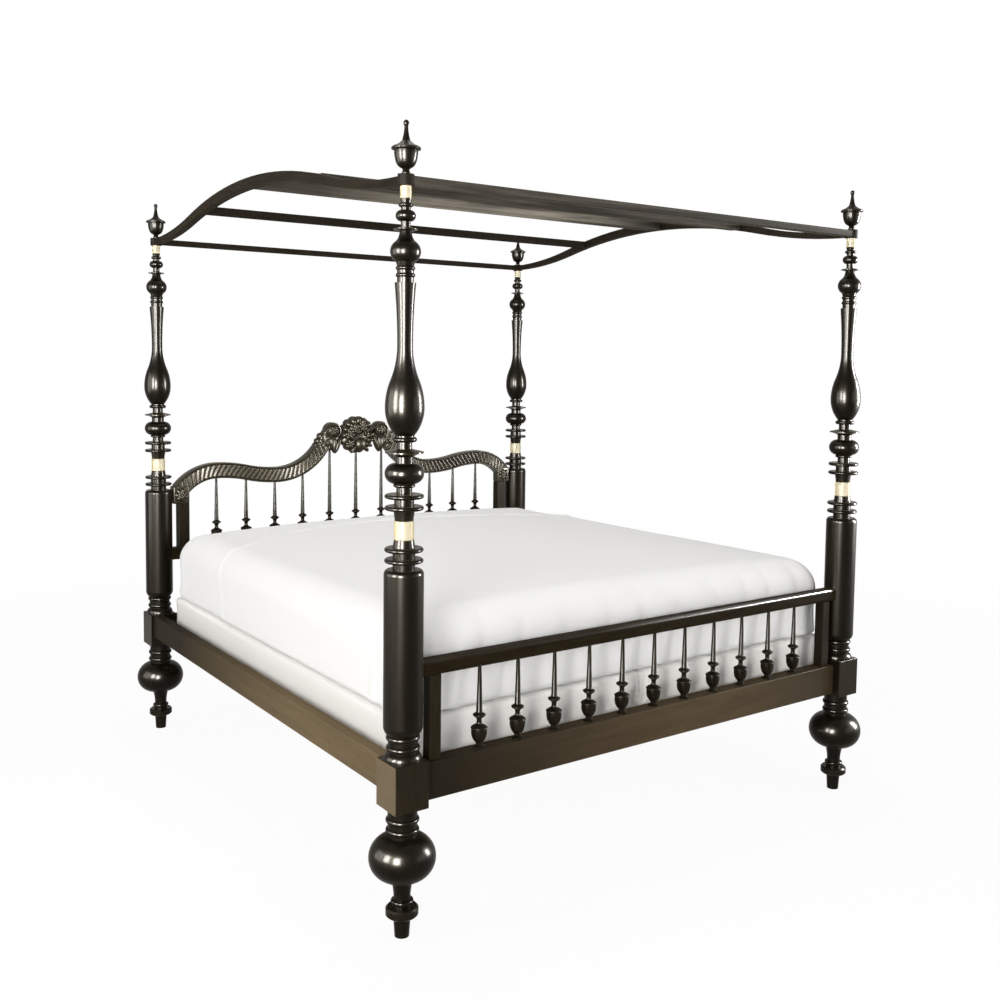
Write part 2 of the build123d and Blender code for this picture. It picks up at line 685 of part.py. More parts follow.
# Footboard: two square stiles and the spindles carry a top rail that runs between the columns
FOOT_TOP_RAIL_BASE = END_RAIL_TOP + FOOT_TOP_RAIL_LIFT
columns = [place * rod(COLUMN_RADIUS + GLUE_GAP, BLOCK_TOP, LOWER_TOP) for place in post_places.values()]
foot_spindle_top = FOOT_TOP_RAIL_BASE + SPINDLE_SOCKET
foot_top_rail = board(
    (-POST_X, POST_X),
    about(-POST_Y, FOOT_TOP_RAIL_THICK),
    (FOOT_TOP_RAIL_BASE, FOOT_TOP_RAIL_BASE + FOOT_TOP_RAIL_RISE),
)
foot_top_rail = eased(foot_top_rail, Axis.X, FOOT_TOP_RAIL_ROUND) - columns
foot_top_rail -= [Pos(x, -POST_Y, 0) * socket(foot_spindle_top) for x in spindle_xs]
save("foot_top_rail", foot_top_rail)
foot_spindle = spindle(END_RAIL_TOP, foot_spindle_top)
save("foot_spindles", Compound([Pos(x, -POST_Y, 0) * foot_spindle for x in spindle_xs]))
for side_name, side in SIDES.items():
    stile = board(
        about(side * (POST_X - FOOT_STILE_INSET - FOOT_STILE_SIDE / 2), FOOT_STILE_SIDE),
        about(-POST_Y, FOOT_STILE_SIDE),
        (END_RAIL_TOP, FOOT_TOP_RAIL_BASE),
    )
    save(f"foot_{side_name}_stile", eased(stile, Axis.Z, RAIL_EDGE_ROUND))


# Headboard: the spindle rail runs between the columns, and a stile stands on each end of it
SPINDLE_RAIL_BASE = END_RAIL_TOP + SPINDLE_RAIL_LIFT
SPINDLE_RAIL_TOP = SPINDLE_RAIL_BASE + SPINDLE_RAIL_RISE
spindle_rail = board(
    (-POST_X, POST_X),
    about(POST_Y, SPINDLE_RAIL_THICK),
    (SPINDLE_RAIL_BASE, SPINDLE_RAIL_TOP),
)
spindle_rail = eased(spindle_rail, Axis.X, RAIL_EDGE_ROUND) - columns
spindle_rail -= [Pos(x, POST_Y, 0) * peg_hole(SPINDLE_RAIL_TOP) for x in spindle_xs]
save("head_spindle_rail", spindle_rail)
STILE_TOP = SPINDLE_RAIL_TOP + HEAD_STILE_RISE
STILE_X = POST_X - HEAD_STILE_INSET - HEAD_STILE_WIDE / 2
for side_name, side in SIDES.items():
    stile = board(
        about(side * STILE_X, HEAD_STILE_WIDE),
        about(POST_Y, HEAD_STILE_THICK),
        (SPINDLE_RAIL_TOP, STILE_TOP),
    )
    save(f"head_{side_name}_stile", eased(stile, Axis.Z, RAIL_EDGE_ROUND))


# Serpentine top rail, right half: a rounded moulding from a carved corner block over the shoulder,
# down to the dip and up a neck that ends in a scroll with a rosette
arch_end_x = POST_X - ARCH_END_INSET
arch_end_z = STILE_TOP + ARCH_END_RISE
shoulder_x = POST_X - ARCH_SHOULDER_INSET
shoulder_z = arch_end_z + ARCH_SHOULDER_RISE
dip_z = shoulder_z - ARCH_DIP_DROP
neck_z = dip_z + ARCH_NECK_RISE
neck_reach = ARCH_DIP_X - ARCH_NECK_X
arch_cuts = [
    *ogee(arch_end_x - shoulder_x, arch_end_z, shoulder_z, 0),
    *ogee(shoulder_x - ARCH_DIP_X, shoulder_z, dip_z, 0.5),
    *ogee(neck_reach, dip_z, neck_z, 1),
]
neck_turn = asin(2 * neck_reach * ARCH_NECK_RISE / (neck_reach**2 + ARCH_NECK_RISE**2))
scroll_x = ARCH_NECK_X - ARCH_NECK_RUN * cos(neck_turn)
scroll_z = neck_z + ARCH_NECK_RUN * sin(neck_turn)
arch_path = cut_edges(0, arch_end_z, arch_cuts, lambda z, run: (arch_end_x - run, POST_Y, z))
arch_path.append(Edge.make_line((ARCH_NECK_X, POST_Y, neck_z), (scroll_x, POST_Y, scroll_z)))
arch_line = Wire(arch_path)
arch_section = Plane(arch_line @ 0, x_dir=(0, 1, 0), z_dir=arch_line % 0)
arch_section *= RectangleRounded(ARCH_THICK, ARCH_DEEP, ARCH_ROUND)
moulding = sweep(arch_section, path=arch_line)
corner_block_x = (STILE_X - HEAD_STILE_WIDE / 2, STILE_X - HEAD_STILE_WIDE / 2 + CORNER_BLOCK_WIDE)
corner_block = board(
    corner_block_x,
    about(POST_Y, CORNER_BLOCK_THICK),
    (STILE_TOP, STILE_TOP + CORNER_BLOCK_RISE),
)
corner_block = eased(corner_block, Axis.Y, CORNER_BLOCK_ROUND)

# Rope carving on the face towards the foot: slanting flutes from the corner block up to the leaf
flute = Rot(0, 0, FLUTE_LEAN) * Rot(90, 0, 0) * Cylinder(FLUTE_RADIUS, FLUTE_LONG)
flute_out = ARCH_THICK / 2 + FLUTE_RADIUS - FLUTE_DEPTH
flute_count = int((arch_line.length - FLUTE_LEAD - FLUTE_TAIL) / FLUTE_PITCH) + 1
for number in range(flute_count):
    share = (FLUTE_LEAD + number * FLUTE_PITCH) / arch_line.length
    spot = arch_line @ share - Vector(0, flute_out, 0)
    moulding -= Plane(spot, x_dir=arch_line % share, z_dir=(0, -1, 0)) * flute


def upright_disc(x, z, radius, thick):
    """A disc that faces the foot of the bed, in the plane of the headboard."""
    return Pos(x, POST_Y, z) * Rot(90, 0, 0) * Cylinder(radius, thick)


scroll = upright_disc(scroll_x, scroll_z, SCROLL_RADIUS, SCROLL_THICK)
scroll = fillet(scroll.edges(), SCROLL_ROUND)
rosette = upright_disc(scroll_x, scroll_z, ROSETTE_RADIUS, SCROLL_THICK + 2 * ROSETTE_PROUD)
flower = Pos(scroll_x, POST_Y - SCROLL_THICK / 2 - ROSETTE_PROUD, scroll_z)
rosette += flower * Sphere(PETAL_RADIUS)
for number in range(PETAL_COUNT):
    rosette += flower * Rot(0, 360 * number / PETAL_COUNT, 0) * Pos(PETAL_RING, 0, 0) * Sphere(PETAL_RADIUS)
arch_half = moulding + corner_block + scroll + rosette - columns


def underside(solid, x):
    """The lowest height of a headboard piece straight above the middle of its foot at x."""
    probe = Pos(x, POST_Y, 0) * rod(1, 0, 2 * scroll_z) & solid
    return probe.bounding_box().min.Z


# Crest: a lobed boss with a domed middle, held between the two scrolls
crest_z = scroll_z - CREST_DROP
crest = upright_disc(0, crest_z, CREST_RADIUS, CREST_THICK)
for number in range(CREST_LOBES):
    turn = Pos(0, POST_Y, crest_z) * Rot(0, 360 * number / CREST_LOBES, 0)
    crest += turn * Pos(CREST_LOBE_RING, 0, 0) * Rot(90, 0, 0) * Cylinder(CREST_LOBE_RADIUS, CREST_THICK)
for side in SIDES.values():
    crest += upright_disc(side * CREST_EAR_X, crest_z + CREST_EAR_RISE, CREST_EAR_RADIUS, CREST_THICK)
dome_ball = (CREST_DOME_RADIUS**2 + CREST_DOME_PROUD**2) / (2 * CREST_DOME_PROUD)
dome_y = POST_Y - CREST_THICK / 2 - CREST_DOME_PROUD + dome_ball
dome_room = upright_disc(0, crest_z, CREST_DOME_RADIUS, CREST_THICK + 2 * CREST_DOME_PROUD)
crest += Pos(0, dome_y, crest_z) * Sphere(dome_ball) & dome_room
for side in SIDES.values():
    seat_radius = SCROLL_RADIUS + GLUE_GAP
    crest -= upright_disc(side * scroll_x, scroll_z, seat_radius, SCROLL_THICK + 2 * ROSETTE_PROUD)


# Head spindles: each one ends in the moulding or the crest above it
head_spindles = []
head_sockets = []
for x in spindle_xs:
    carrier = crest if abs(x) < SPINDLE_PITCH / 2 else arch_half
    top = underside(carrier, abs(x)) + SPINDLE_SOCKET
    head_spindles.append(Pos(x, POST_Y, 0) * spindle(SPINDLE_RAIL_TOP, top))
    head_sockets.append(Pos(x, POST_Y, 0) * socket(top))
save("head_spindles", Compound(head_spindles))
save("head_right_arch", arch_half - head_sockets)
save("head_left_arch", mirror(arch_half, Plane.YZ) - head_sockets)
save("head_crest", crest - head_sockets)


# Tester arches: ogee bars that thin towards the eyes, which hold the pins
ARCH_END_Z = EYE_BASE + EYE_RISE / 2
arch_top_end = ARCH_END_Z + TESTER_ARCH_END_DEEP / 2
arch_low_end = ARCH_END_Z - TESTER_ARCH_END_DEEP / 2
crown_top = arch_top_end + TESTER_ARCH_RISE
crown_low = crown_top - TESTER_ARCH_CROWN_DEEP
top_cuts = ogee(POST_Y, crown_top, arch_top_end, TESTER_ARCH_SHARE)
low_cuts = ogee(POST_Y, crown_low, arch_low_end, TESTER_ARCH_SHARE)


def bar_height(cuts, crown, y):
    """The height of an ogee edge at a place between the crown and its turning point."""
    drop = crown - cuts[0][1]
    radius = (drop**2 + cuts[0][0] ** 2) / (2 * drop)
    return crown - radius + sqrt(radius**2 - y**2)


half_outline = cut_edges(0, crown_top, top_cuts, lambda z, y: (0, y, z))
half_outline += cut_edges(0, crown_low, low_cuts, lambda z, y: (0, y, z))
half_outline.append(Edge.make_line((0, 0, crown_low), (0, 0, crown_top)))
half_outline.append(Edge.make_line((0, POST_Y, arch_low_end), (0, POST_Y, arch_top_end)))
half_bar = extrude(make_face(half_outline), TESTER_ARCH_WIDE / 2, dir=(1, 0, 0), both=True)
eye = Pos(0, POST_Y, 0) * rod(EYE_RADIUS, EYE_BASE, EYE_TOP)
eye_hole = Pos(0, POST_Y, 0) * rod(PIN_RADIUS + GLUE_GAP, EYE_BASE, EYE_TOP)
half_arch = half_bar + eye - eye_hole
tester_arch = half_arch + mirror(half_arch, Plane.XZ)


# Cross pieces: slats tenoned into the arches, and a rail at each end between the eyes
slat_z = (bar_height(top_cuts, crown_top, TESTER_SLAT_Y) + bar_height(low_cuts, crown_low, TESTER_SLAT_Y)) / 2
cross_slats = {
    "tester_crown_slat": (0, (crown_top + crown_low) / 2, CROWN_SLAT_WIDE, CROWN_SLAT_THICK),
    "tester_head_slat": (TESTER_SLAT_Y, slat_z, TESTER_SLAT_WIDE, TESTER_SLAT_THICK),
    "tester_foot_slat": (-TESTER_SLAT_Y, slat_z, TESTER_SLAT_WIDE, TESTER_SLAT_THICK),
}
INSIDE_X = POST_X - TESTER_ARCH_WIDE / 2
mortises = []
for name, (y, z, wide, thick) in cross_slats.items():
    slat = board((-INSIDE_X, INSIDE_X), about(y, wide), about(z, thick))
    slat = eased(slat, Axis.X, TESTER_EDGE_ROUND)
    tenon_wide = wide - 2 * TESTER_TENON_SHOULDER
    tenon_thick = thick - 2 * TESTER_TENON_SHOULDER
    tenon_end = INSIDE_X + TESTER_TENON_REACH
    slat += board((-tenon_end, tenon_end), about(y, tenon_wide), about(z, tenon_thick))
    hole_end = tenon_end + GLUE_GAP
    hole = board(
        (-hole_end, hole_end),
        about(y, tenon_wide + 2 * GLUE_GAP),
        about(z, tenon_thick + 2 * GLUE_GAP),
    )
    mortises.append(hole)
    save(name, slat)

for end_name, end in ENDS.items():
    eyes = [Pos(side * POST_X, end * POST_Y, 0) * rod(EYE_RADIUS + GLUE_GAP, EYE_BASE, EYE_TOP) for side in (-1, 1)]
    rail = board((-INSIDE_X, INSIDE_X), about(end * POST_Y, TESTER_RAIL_WIDE), about(ARCH_END_Z, TESTER_RAIL_THICK))
    save(f"tester_{end_name}_rail", eased(rail, Axis.X, TESTER_EDGE_ROUND) - eyes)

for side_name, side in SIDES.items():
    save(f"tester_{side_name}_arch", Pos(side * POST_X, 0, 0) * tester_arch - mortises)


# Soft pieces: lofts through outlines of gently bowed sides and rounded corners
def soft_outline(z, middle, half_x, half_y, corner, pull):
    """A level outline about the middle whose sides draw in by the pull between the corners."""
    turn = corner * (1 - sqrt(0.5))
    edges = []
    for number in range(4):
        along, across = (half_x, half_y) if number % 2 == 0 else (half_y, half_x)
        spin = Pos(middle[0], middle[1], z) * Rot(0, 0, 90 * number)
        side = Edge.make_three_point_arc(
            (-along + corner, -across, 0), (0, -across + pull, 0), (along - corner, -across, 0)
        )
        bend = Edge.make_three_point_arc(
            (along - corner, -across, 0), (along - turn, -across + turn, 0), (along, -across + corner, 0)
        )
        edges += [spin * side, spin * bend]
    return make_face(edges)


def soft_block(levels, middle, half_x, half_y, corner, pull):
    """A loft through (height, inset) levels."""
    sections = []
    for z, inset in levels:
        sections.append(soft_outline(z, middle, half_x - inset, half_y - inset, corner, pull))
    return loft(sections, ruled=True)


BED_FOOT = -POST_Y + BED_INSET_FOOT
BED_HEAD = POST_Y - BED_INSET_HEAD
BED_MIDDLE_Y = (BED_FOOT + BED_HEAD) / 2
BED_HALF_Y = (BED_HEAD - BED_FOOT) / 2
BED_HALF_X = POST_X - BED_INSET_X

# Foundation: two low box springs side by side on the slats
FOUNDATION_BASE = SLAT_TOP + LIFT_GAP
FOUNDATION_TOP = FOUNDATION_BASE + FOUNDATION_RISE
foundation_half_x = (BED_HALF_X - FOUNDATION_MIDDLE_GAP / 2) / 2
foundation_levels = [
    (FOUNDATION_BASE, FOUNDATION_SOFTNESS),
    (FOUNDATION_BASE + FOUNDATION_SOFTNESS, 0),
    (FOUNDATION_TOP - FOUNDATION_SOFTNESS, 0),
    (FOUNDATION_TOP, FOUNDATION_SOFTNESS),
]
for side_name, side in SIDES.items():
    middle = (side * (BED_HALF_X - foundation_half_x), BED_MIDDLE_Y)
    half = soft_block(foundation_levels, middle, foundation_half_x, BED_HALF_Y, FOUNDATION_CORNER, 0.5)
    save(f"{side_name}_box_spring", half)

# Mattress: a rolled edge above and below a drawn-in border, and a crowned top
MATTRESS_BASE = FOUNDATION_TOP + LIFT_GAP
MATTRESS_EDGE = MATTRESS_BASE + MATTRESS_EDGE_RISE
mattress_levels = [
    (MATTRESS_BASE, 3 * MATTRESS_WAIST),
    (MATTRESS_BASE + 2 * MATTRESS_WAIST, MATTRESS_WAIST / 2),
    (MATTRESS_BASE + 5 * MATTRESS_WAIST, 0),
    (MATTRESS_BASE + MATTRESS_EDGE_RISE / 2, MATTRESS_WAIST),
    (MATTRESS_EDGE - 6 * MATTRESS_WAIST, 0),
    (MATTRESS_EDGE - 2.5 * MATTRESS_WAIST, MATTRESS_WAIST),
    (MATTRESS_EDGE, 5 * MATTRESS_WAIST),
    (MATTRESS_EDGE + 0.7 * MATTRESS_CROWN, 13 * MATTRESS_WAIST),
    (MATTRESS_EDGE + MATTRESS_CROWN, 36 * MATTRESS_WAIST),
]
mattress_middle = (0, BED_MIDDLE_Y)
mattress = soft_block(mattress_levels, mattress_middle, BED_HALF_X, BED_HALF_Y, MATTRESS_CORNER, MATTRESS_PULL)
save("mattress", mattress)
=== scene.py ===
import math

import bmesh
import bpy
from mathutils import Matrix, Vector, noise


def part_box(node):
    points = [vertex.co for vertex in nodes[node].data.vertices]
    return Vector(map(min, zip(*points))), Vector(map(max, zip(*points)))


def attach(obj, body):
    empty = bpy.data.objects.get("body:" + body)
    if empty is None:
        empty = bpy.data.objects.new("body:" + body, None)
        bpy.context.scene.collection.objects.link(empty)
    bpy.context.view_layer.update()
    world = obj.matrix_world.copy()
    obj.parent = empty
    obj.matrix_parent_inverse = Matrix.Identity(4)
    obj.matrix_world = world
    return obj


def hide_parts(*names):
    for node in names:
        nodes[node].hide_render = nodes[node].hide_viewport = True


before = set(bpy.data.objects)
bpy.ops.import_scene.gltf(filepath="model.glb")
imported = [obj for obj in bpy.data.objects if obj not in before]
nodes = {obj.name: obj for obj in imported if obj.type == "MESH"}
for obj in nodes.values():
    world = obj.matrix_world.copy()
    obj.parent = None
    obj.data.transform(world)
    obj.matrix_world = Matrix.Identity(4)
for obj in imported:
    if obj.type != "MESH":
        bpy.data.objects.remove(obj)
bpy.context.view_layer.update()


# Turned posts, bun feet and finials: hardwood turned on a lathe, stained black and lacquered to a
# deep gloss. Brown is painted on the sharp edges of the discs as a painted warm reflection, and on
# the outer faces of the foot posts' square blocks as a painted sheen of the lamps at the sides.
CORNERS = ("foot_left", "foot_right", "head_left", "head_right")
EBONY = (0.0032, 0.0024, 0.0013, 1)
EBONY_BROWN = (0.030, 0.0215, 0.0105, 1)
AMBER_SHEEN = (1.0, 0.88, 0.64, 1)
AMBER_RIM = (1.0, 0.72, 0.36, 1)
UPRIGHT_GRAIN = (9.0, 9.0, 0.9)
POST_FINISH = {"figure_share": 0.16, "polish": 0.19, "satin": 0.34, "gloss": 0.09, "glow": 0.024, "rim": 0.08}
SATIN_SPREAD = 0.1
RIM_ROUGHNESS = 0.3
FIGURE_BAND = (0.32, 0.72)
EDGE_REFLECTION_BAND = (0.51, 0.62)
POST_BLOCK = (0.392, 0.536)
BLOCK_EDGE = 0.002
BLOCK_PAINTED_SHEEN = (0.135, 0.100, 0.056, 1)
OUTER_FACE = (0.5, 0.9)


def shader_group(name, inputs, outputs):
    """An empty shader node group with the named sockets, and its input and output nodes."""
    group = bpy.data.node_groups.new(name, "ShaderNodeTree")
    for socket_name, kind in inputs:
        group.interface.new_socket(socket_name, in_out="INPUT", socket_type=kind)
    for socket_name, kind in outputs:
        group.interface.new_socket(socket_name, in_out="OUTPUT", socket_type=kind)
    return group, group.nodes.new("NodeGroupInput"), group.nodes.new("NodeGroupOutput")


def noise_texture(tree, scale, detail, roughness, distortion=0.0):
    """A noise texture node with these values."""
    texture = tree.nodes.new("ShaderNodeTexNoise")
    texture.inputs["Scale"].default_value = scale
    texture.inputs["Detail"].default_value = detail
    texture.inputs["Roughness"].default_value = roughness
    texture.inputs["Distortion"].default_value = distortion
    return texture


def value_range(tree, source, low, high, to_low, to_high):
    """A clamped change of range, fed from a socket."""
    node = tree.nodes.new("ShaderNodeMapRange")
    node.inputs["From Min"].default_value = low
    node.inputs["From Max"].default_value = high
    node.inputs["To Min"].default_value = to_low
    node.inputs["To Max"].default_value = to_high
    tree.links.new(source, node.inputs["Value"])
    return node.outputs["Result"]


def product(tree, first, second):
    """The product of two value sockets."""
    node = tree.nodes.new("ShaderNodeMath")
    node.operation = "MULTIPLY"
    tree.links.new(first, node.inputs[0])
    tree.links.new(second, node.inputs[1])
    return node.outputs["Value"]


figure_group, figure_in, figure_out = shader_group(
    "Wood figure",
    [("Vector", "NodeSocketVector")],
    [("Figure", "NodeSocketFloat"), ("Pores", "NodeSocketFloat")],
)
broad_figure = noise_texture(figure_group, scale=2.4, detail=5.0, roughness=0.62, distortion=0.7)
fine_pores = noise_texture(figure_group, scale=31.0, detail=3.0, roughness=0.55)
figure_group.links.new(figure_in.outputs["Vector"], broad_figure.inputs["Vector"])
figure_group.links.new(figure_in.outputs["Vector"], fine_pores.inputs["Vector"])
figure_shown = value_range(figure_group, broad_figure.outputs["Fac"], *FIGURE_BAND, 0, 1)
figure_group.links.new(figure_shown, figure_out.inputs["Figure"])
figure_group.links.new(fine_pores.outputs["Fac"], figure_out.inputs["Pores"])

# Painted reflection: brown on sharp edges, in patches, stands in for the warm reflection that the edges
# catch.
edge_reflection_group, edge_reflection_in, edge_reflection_out = shader_group(
    "Painted edge reflection", [("Vector", "NodeSocketVector")], [("Rub", "NodeSocketFloat")]
)
edge_reflection_geometry = edge_reflection_group.nodes.new("ShaderNodeNewGeometry")
edge_reflection_patches = noise_texture(edge_reflection_group, scale=14.0, detail=4.0, roughness=0.6)
edge_reflection_group.links.new(edge_reflection_in.outputs["Vector"], edge_reflection_patches.inputs["Vector"])
edge_reflection_mask = value_range(edge_reflection_group, edge_reflection_geometry.outputs["Pointiness"], *EDGE_REFLECTION_BAND, 0, 1)
edge_reflection_group.links.new(product(edge_reflection_group, edge_reflection_mask, edge_reflection_patches.outputs["Fac"]), edge_reflection_out.inputs["Rub"])


def mixed_colour(tree, factor, first, second):
    """A colour mix from a factor socket; each colour is a tuple or a socket."""
    mix = tree.nodes.new("ShaderNodeMix")
    mix.data_type = "RGBA"
    tree.links.new(factor, mix.inputs["Factor"])
    for colour, socket in ((first, mix.inputs[6]), (second, mix.inputs[7])):
        if isinstance(colour, tuple):
            socket.default_value = colour
        else:
            tree.links.new(colour, socket)
    return mix.outputs[2]


def surface_bump(tree, height, strength, distance):
    """A bump node on a height socket, linked to the shader's normal."""
    bump = tree.nodes.new("ShaderNodeBump")
    bump.inputs["Strength"].default_value = strength
    bump.inputs["Distance"].default_value = distance
    tree.links.new(height, bump.inputs["Height"])
    tree.links.new(bump.outputs["Normal"], tree.nodes["Principled BSDF"].inputs["Normal"])


def new_material(name, grain):
    """A material with Object coordinates stretched by the grain: its tree, shader and vector socket."""
    material = bpy.data.materials.new(name)
    material.use_nodes = True
    tree = material.node_tree
    place = tree.nodes.new("ShaderNodeTexCoord")
    mapping = tree.nodes.new("ShaderNodeMapping")
    mapping.inputs["Scale"].default_value = grain
    tree.links.new(place.outputs["Object"], mapping.inputs["Vector"])
    return material, tree, tree.nodes["Principled BSDF"], mapping.outputs["Vector"]


def placed_group(tree, group, vector):
    """A shader node group in a material, fed with the vector."""
    node = tree.nodes.new("ShaderNodeGroup")
    node.node_tree = group
    tree.links.new(vector, node.inputs["Vector"])
    return node


def lacquered_wood(name, grain, dark, brown, *, figure_share, polish, satin, gloss, glow, rim):
    """Ebonised wood under lacquer, with a share of brown figure in the dark stain.

    Polish and gloss are the roughness and weight of the clear top coat, satin and glow the roughness and
    strength of the amber gloss of the coats beneath, and rim the weight of the amber sheen that they show
    where the surface turns away.
    """
    material, tree, shader, vector = new_material(name, grain)
    figure = placed_group(tree, figure_group, vector)
    edge_reflection = placed_group(tree, edge_reflection_group, vector)
    share = value_range(tree, figure.outputs["Figure"], 0, 1, 0, figure_share)
    stained = mixed_colour(tree, share, dark, brown)
    # Painted reflection: brown mixed in on the sharp edges.
    with_edge_reflection = mixed_colour(tree, edge_reflection.outputs["Rub"], stained, brown)
    tree.links.new(with_edge_reflection, shader.inputs["Base Color"])
    satin_ends = (satin * (1 - SATIN_SPREAD), satin * (1 + SATIN_SPREAD))
    rough = value_range(tree, figure.outputs["Figure"], 0, 1, *satin_ends)
    tree.links.new(rough, shader.inputs["Roughness"])
    shader.inputs["Specular IOR Level"].default_value = glow
    shader.inputs["Specular Tint"].default_value = AMBER_SHEEN
    shader.inputs["Coat Weight"].default_value = gloss
    shader.inputs["Coat Roughness"].default_value = polish
    shader.inputs["Sheen Weight"].default_value = rim
    shader.inputs["Sheen Tint"].default_value = AMBER_RIM
    shader.inputs["Sheen Roughness"].default_value = RIM_ROUGHNESS
    surface_bump(tree, figure.outputs["Pores"], strength=0.05, distance=0.0004)
    return material


def along_axis(tree, vector, axis):
    """One part of a vector socket: X, Y or Z."""
    parts = tree.nodes.new("ShaderNodeSeparateXYZ")
    tree.links.new(vector, parts.inputs["Vector"])
    return parts.outputs[axis]


def away_from(tree, source, centre):
    """How far a value is from the centre."""
    shift = tree.nodes.new("ShaderNodeMath")
    shift.operation = "SUBTRACT"
    shift.inputs[1].default_value = centre
    tree.links.new(source, shift.inputs[0])
    size = tree.nodes.new("ShaderNodeMath")
    size.operation = "ABSOLUTE"
    tree.links.new(shift.outputs["Value"], size.inputs[0])
    return size.outputs["Value"]


def stain_or_shade_over(material, factor, colour):
    """Mixes a colour over what a material shows, by a factor socket: a stain, or painted shade or sheen."""
    tree = material.node_tree
    shown = tree.nodes["Principled BSDF"].inputs["Base Color"]
    tree.links.new(mixed_colour(tree, factor, shown.links[0].from_socket, colour), shown)


def dress(material, *names):
    """Puts a material in the slots of these nodes."""
    for name in names:
        nodes[name].data.materials.clear()
        nodes[name].data.materials.append(material)


post_lacquer = lacquered_wood("post lacquer", UPRIGHT_GRAIN, EBONY, EBONY_BROWN, **POST_FINISH)
block_lacquer_painted_sheen = lacquered_wood("block lacquer with painted sheen", UPRIGHT_GRAIN, EBONY, EBONY_BROWN, **POST_FINISH)
block_tree = block_lacquer_painted_sheen.node_tree
block_place = block_tree.nodes.new("ShaderNodeTexCoord")
block_faces = block_tree.nodes.new("ShaderNodeNewGeometry")
block_level = (POST_BLOCK[0] + POST_BLOCK[1]) / 2
block_reach = (POST_BLOCK[1] - POST_BLOCK[0]) / 2
up_the_post = along_axis(block_tree, block_place.outputs["Object"], "Z")
from_block = away_from(block_tree, up_the_post, block_level)
on_block = value_range(block_tree, from_block, block_reach - BLOCK_EDGE, block_reach, 1, 0)
side_place = along_axis(block_tree, block_place.outputs["Object"], "X")
side_facing = along_axis(block_tree, block_faces.outputs["Normal"], "X")
outward = product(block_tree, side_place, side_facing)
painted_sheen_mask = product(block_tree, on_block, value_range(block_tree, outward, *OUTER_FACE, 0, 1))
# Painted sheen: brown on the blocks' outward side faces stands in for the gleam of the lamps at the sides.
stain_or_shade_over(block_lacquer_painted_sheen, painted_sheen_mask, BLOCK_PAINTED_SHEEN)
for corner in CORNERS:
    dress(post_lacquer, f"{corner}_bun_foot", f"{corner}_upper_post", f"{corner}_finial")
    dress(block_lacquer_painted_sheen if "foot" in corner else post_lacquer, f"{corner}_lower_post")


# Bone collars: short tubes of bleached bone threaded between the turned lengths of each post. Fine
# growth lines run up the tube, under a thin polish that has yellowed.
BONE = (0.80, 0.74, 0.60, 1)
BONE_PALE = (0.92, 0.92, 0.90, 1)
BONE_YELLOW = (0.93, 0.87, 0.71, 1)
BONE_GRAIN = (160.0, 160.0, 9.0)

bone, bone_tree, bone_shader, bone_vector = new_material("bleached bone", BONE_GRAIN)
bone_figure = placed_group(bone_tree, figure_group, bone_vector)
bone_grown = mixed_colour(bone_tree, bone_figure.outputs["Figure"], BONE_PALE, BONE)
bone_tree.links.new(bone_grown, bone_shader.inputs["Base Color"])
bone_shader.inputs["Roughness"].default_value = 0.32
bone_shader.inputs["Specular IOR Level"].default_value = 0.08
bone_shader.inputs["Coat Weight"].default_value = 1.0
bone_shader.inputs["Coat Tint"].default_value = BONE_YELLOW
bone_shader.inputs["Coat IOR"].default_value = 1.05
bone_shader.inputs["Coat Roughness"].default_value = 0.3
bone_shader.inputs["Subsurface Weight"].default_value = 0.15
bone_shader.inputs["Subsurface Radius"].default_value = (0.004, 0.003, 0.002)
surface_bump(bone_tree, bone_figure.outputs["Pores"], strength=0.1, distance=0.0004)
for corner in CORNERS:
    dress(bone, f"{corner}_lower_collar", f"{corner}_upper_collar")


# Rails and stiles: planed boards under a satin lacquer, hooked into the post blocks. The stain takes
# unevenly along the grain. The side rails are darker towards their head end and the cross rails towards
# their ends. Each board's own plain rail is polished bright along its front edge.
RAIL_BLACK = (0.034, 0.0235, 0.0125, 1)
RAIL_BROWN = (0.104, 0.072, 0.039, 1)
SIDE_BLACK = (0.070, 0.051, 0.028, 1)
SIDE_BROWN = (0.165, 0.119, 0.066, 1)
END_BLACK = (0.016, 0.012, 0.007, 1)
ACROSS_GRAIN = (0.8, 10.0, 10.0)
ALONG_GRAIN = (10.0, 0.8, 10.0)
CROSS_PALEST = 0.20
CROSS_DARKENS = (0.10, 1.05)
SIDE_PALEST = -0.9
SIDE_DARKENS = (0.5, 1.6)
POLISH_IOR = 1.7
FACING_UP = (0.30, 0.60)
FACING_FOOT = (-0.40, -0.15)
POLISHED_RUN = (-0.25, 0.20)
POLISH_LEAST = 0.12

cross_rail_wood = lacquered_wood(
    "cross rail wood", ACROSS_GRAIN, RAIL_BLACK, RAIL_BROWN,
    figure_share=0.7, polish=0.30, satin=0.55, gloss=0.03, glow=0.01, rim=0.04,
)
side_rail_wood = lacquered_wood(
    "side rail wood", ALONG_GRAIN, SIDE_BLACK, SIDE_BROWN,
    figure_share=0.9, polish=0.34, satin=0.60, gloss=0.03, glow=0.01, rim=0.0,
)
for wood, axis, palest, darkens in (
    (cross_rail_wood, "X", CROSS_PALEST, CROSS_DARKENS),
    (side_rail_wood, "Y", SIDE_PALEST, SIDE_DARKENS),
):
    place = wood.node_tree.nodes.new("ShaderNodeTexCoord").outputs["Object"]
    distance = away_from(wood.node_tree, along_axis(wood.node_tree, place, axis), palest)
    stain_or_shade_over(wood, value_range(wood.node_tree, distance, *darkens, 0, 1), END_BLACK)
stile_wood = lacquered_wood(
    "stile wood", UPRIGHT_GRAIN, EBONY, EBONY_BROWN,
    figure_share=0.15, polish=0.26, satin=0.50, gloss=0.04, glow=0.01, rim=0.02,
)
dress(cross_rail_wood, "foot_rail", "head_rail")
dress(side_rail_wood, "left_side_rail", "right_side_rail")
dress(stile_wood, "foot_left_stile", "foot_right_stile", "head_left_stile", "head_right_stile")

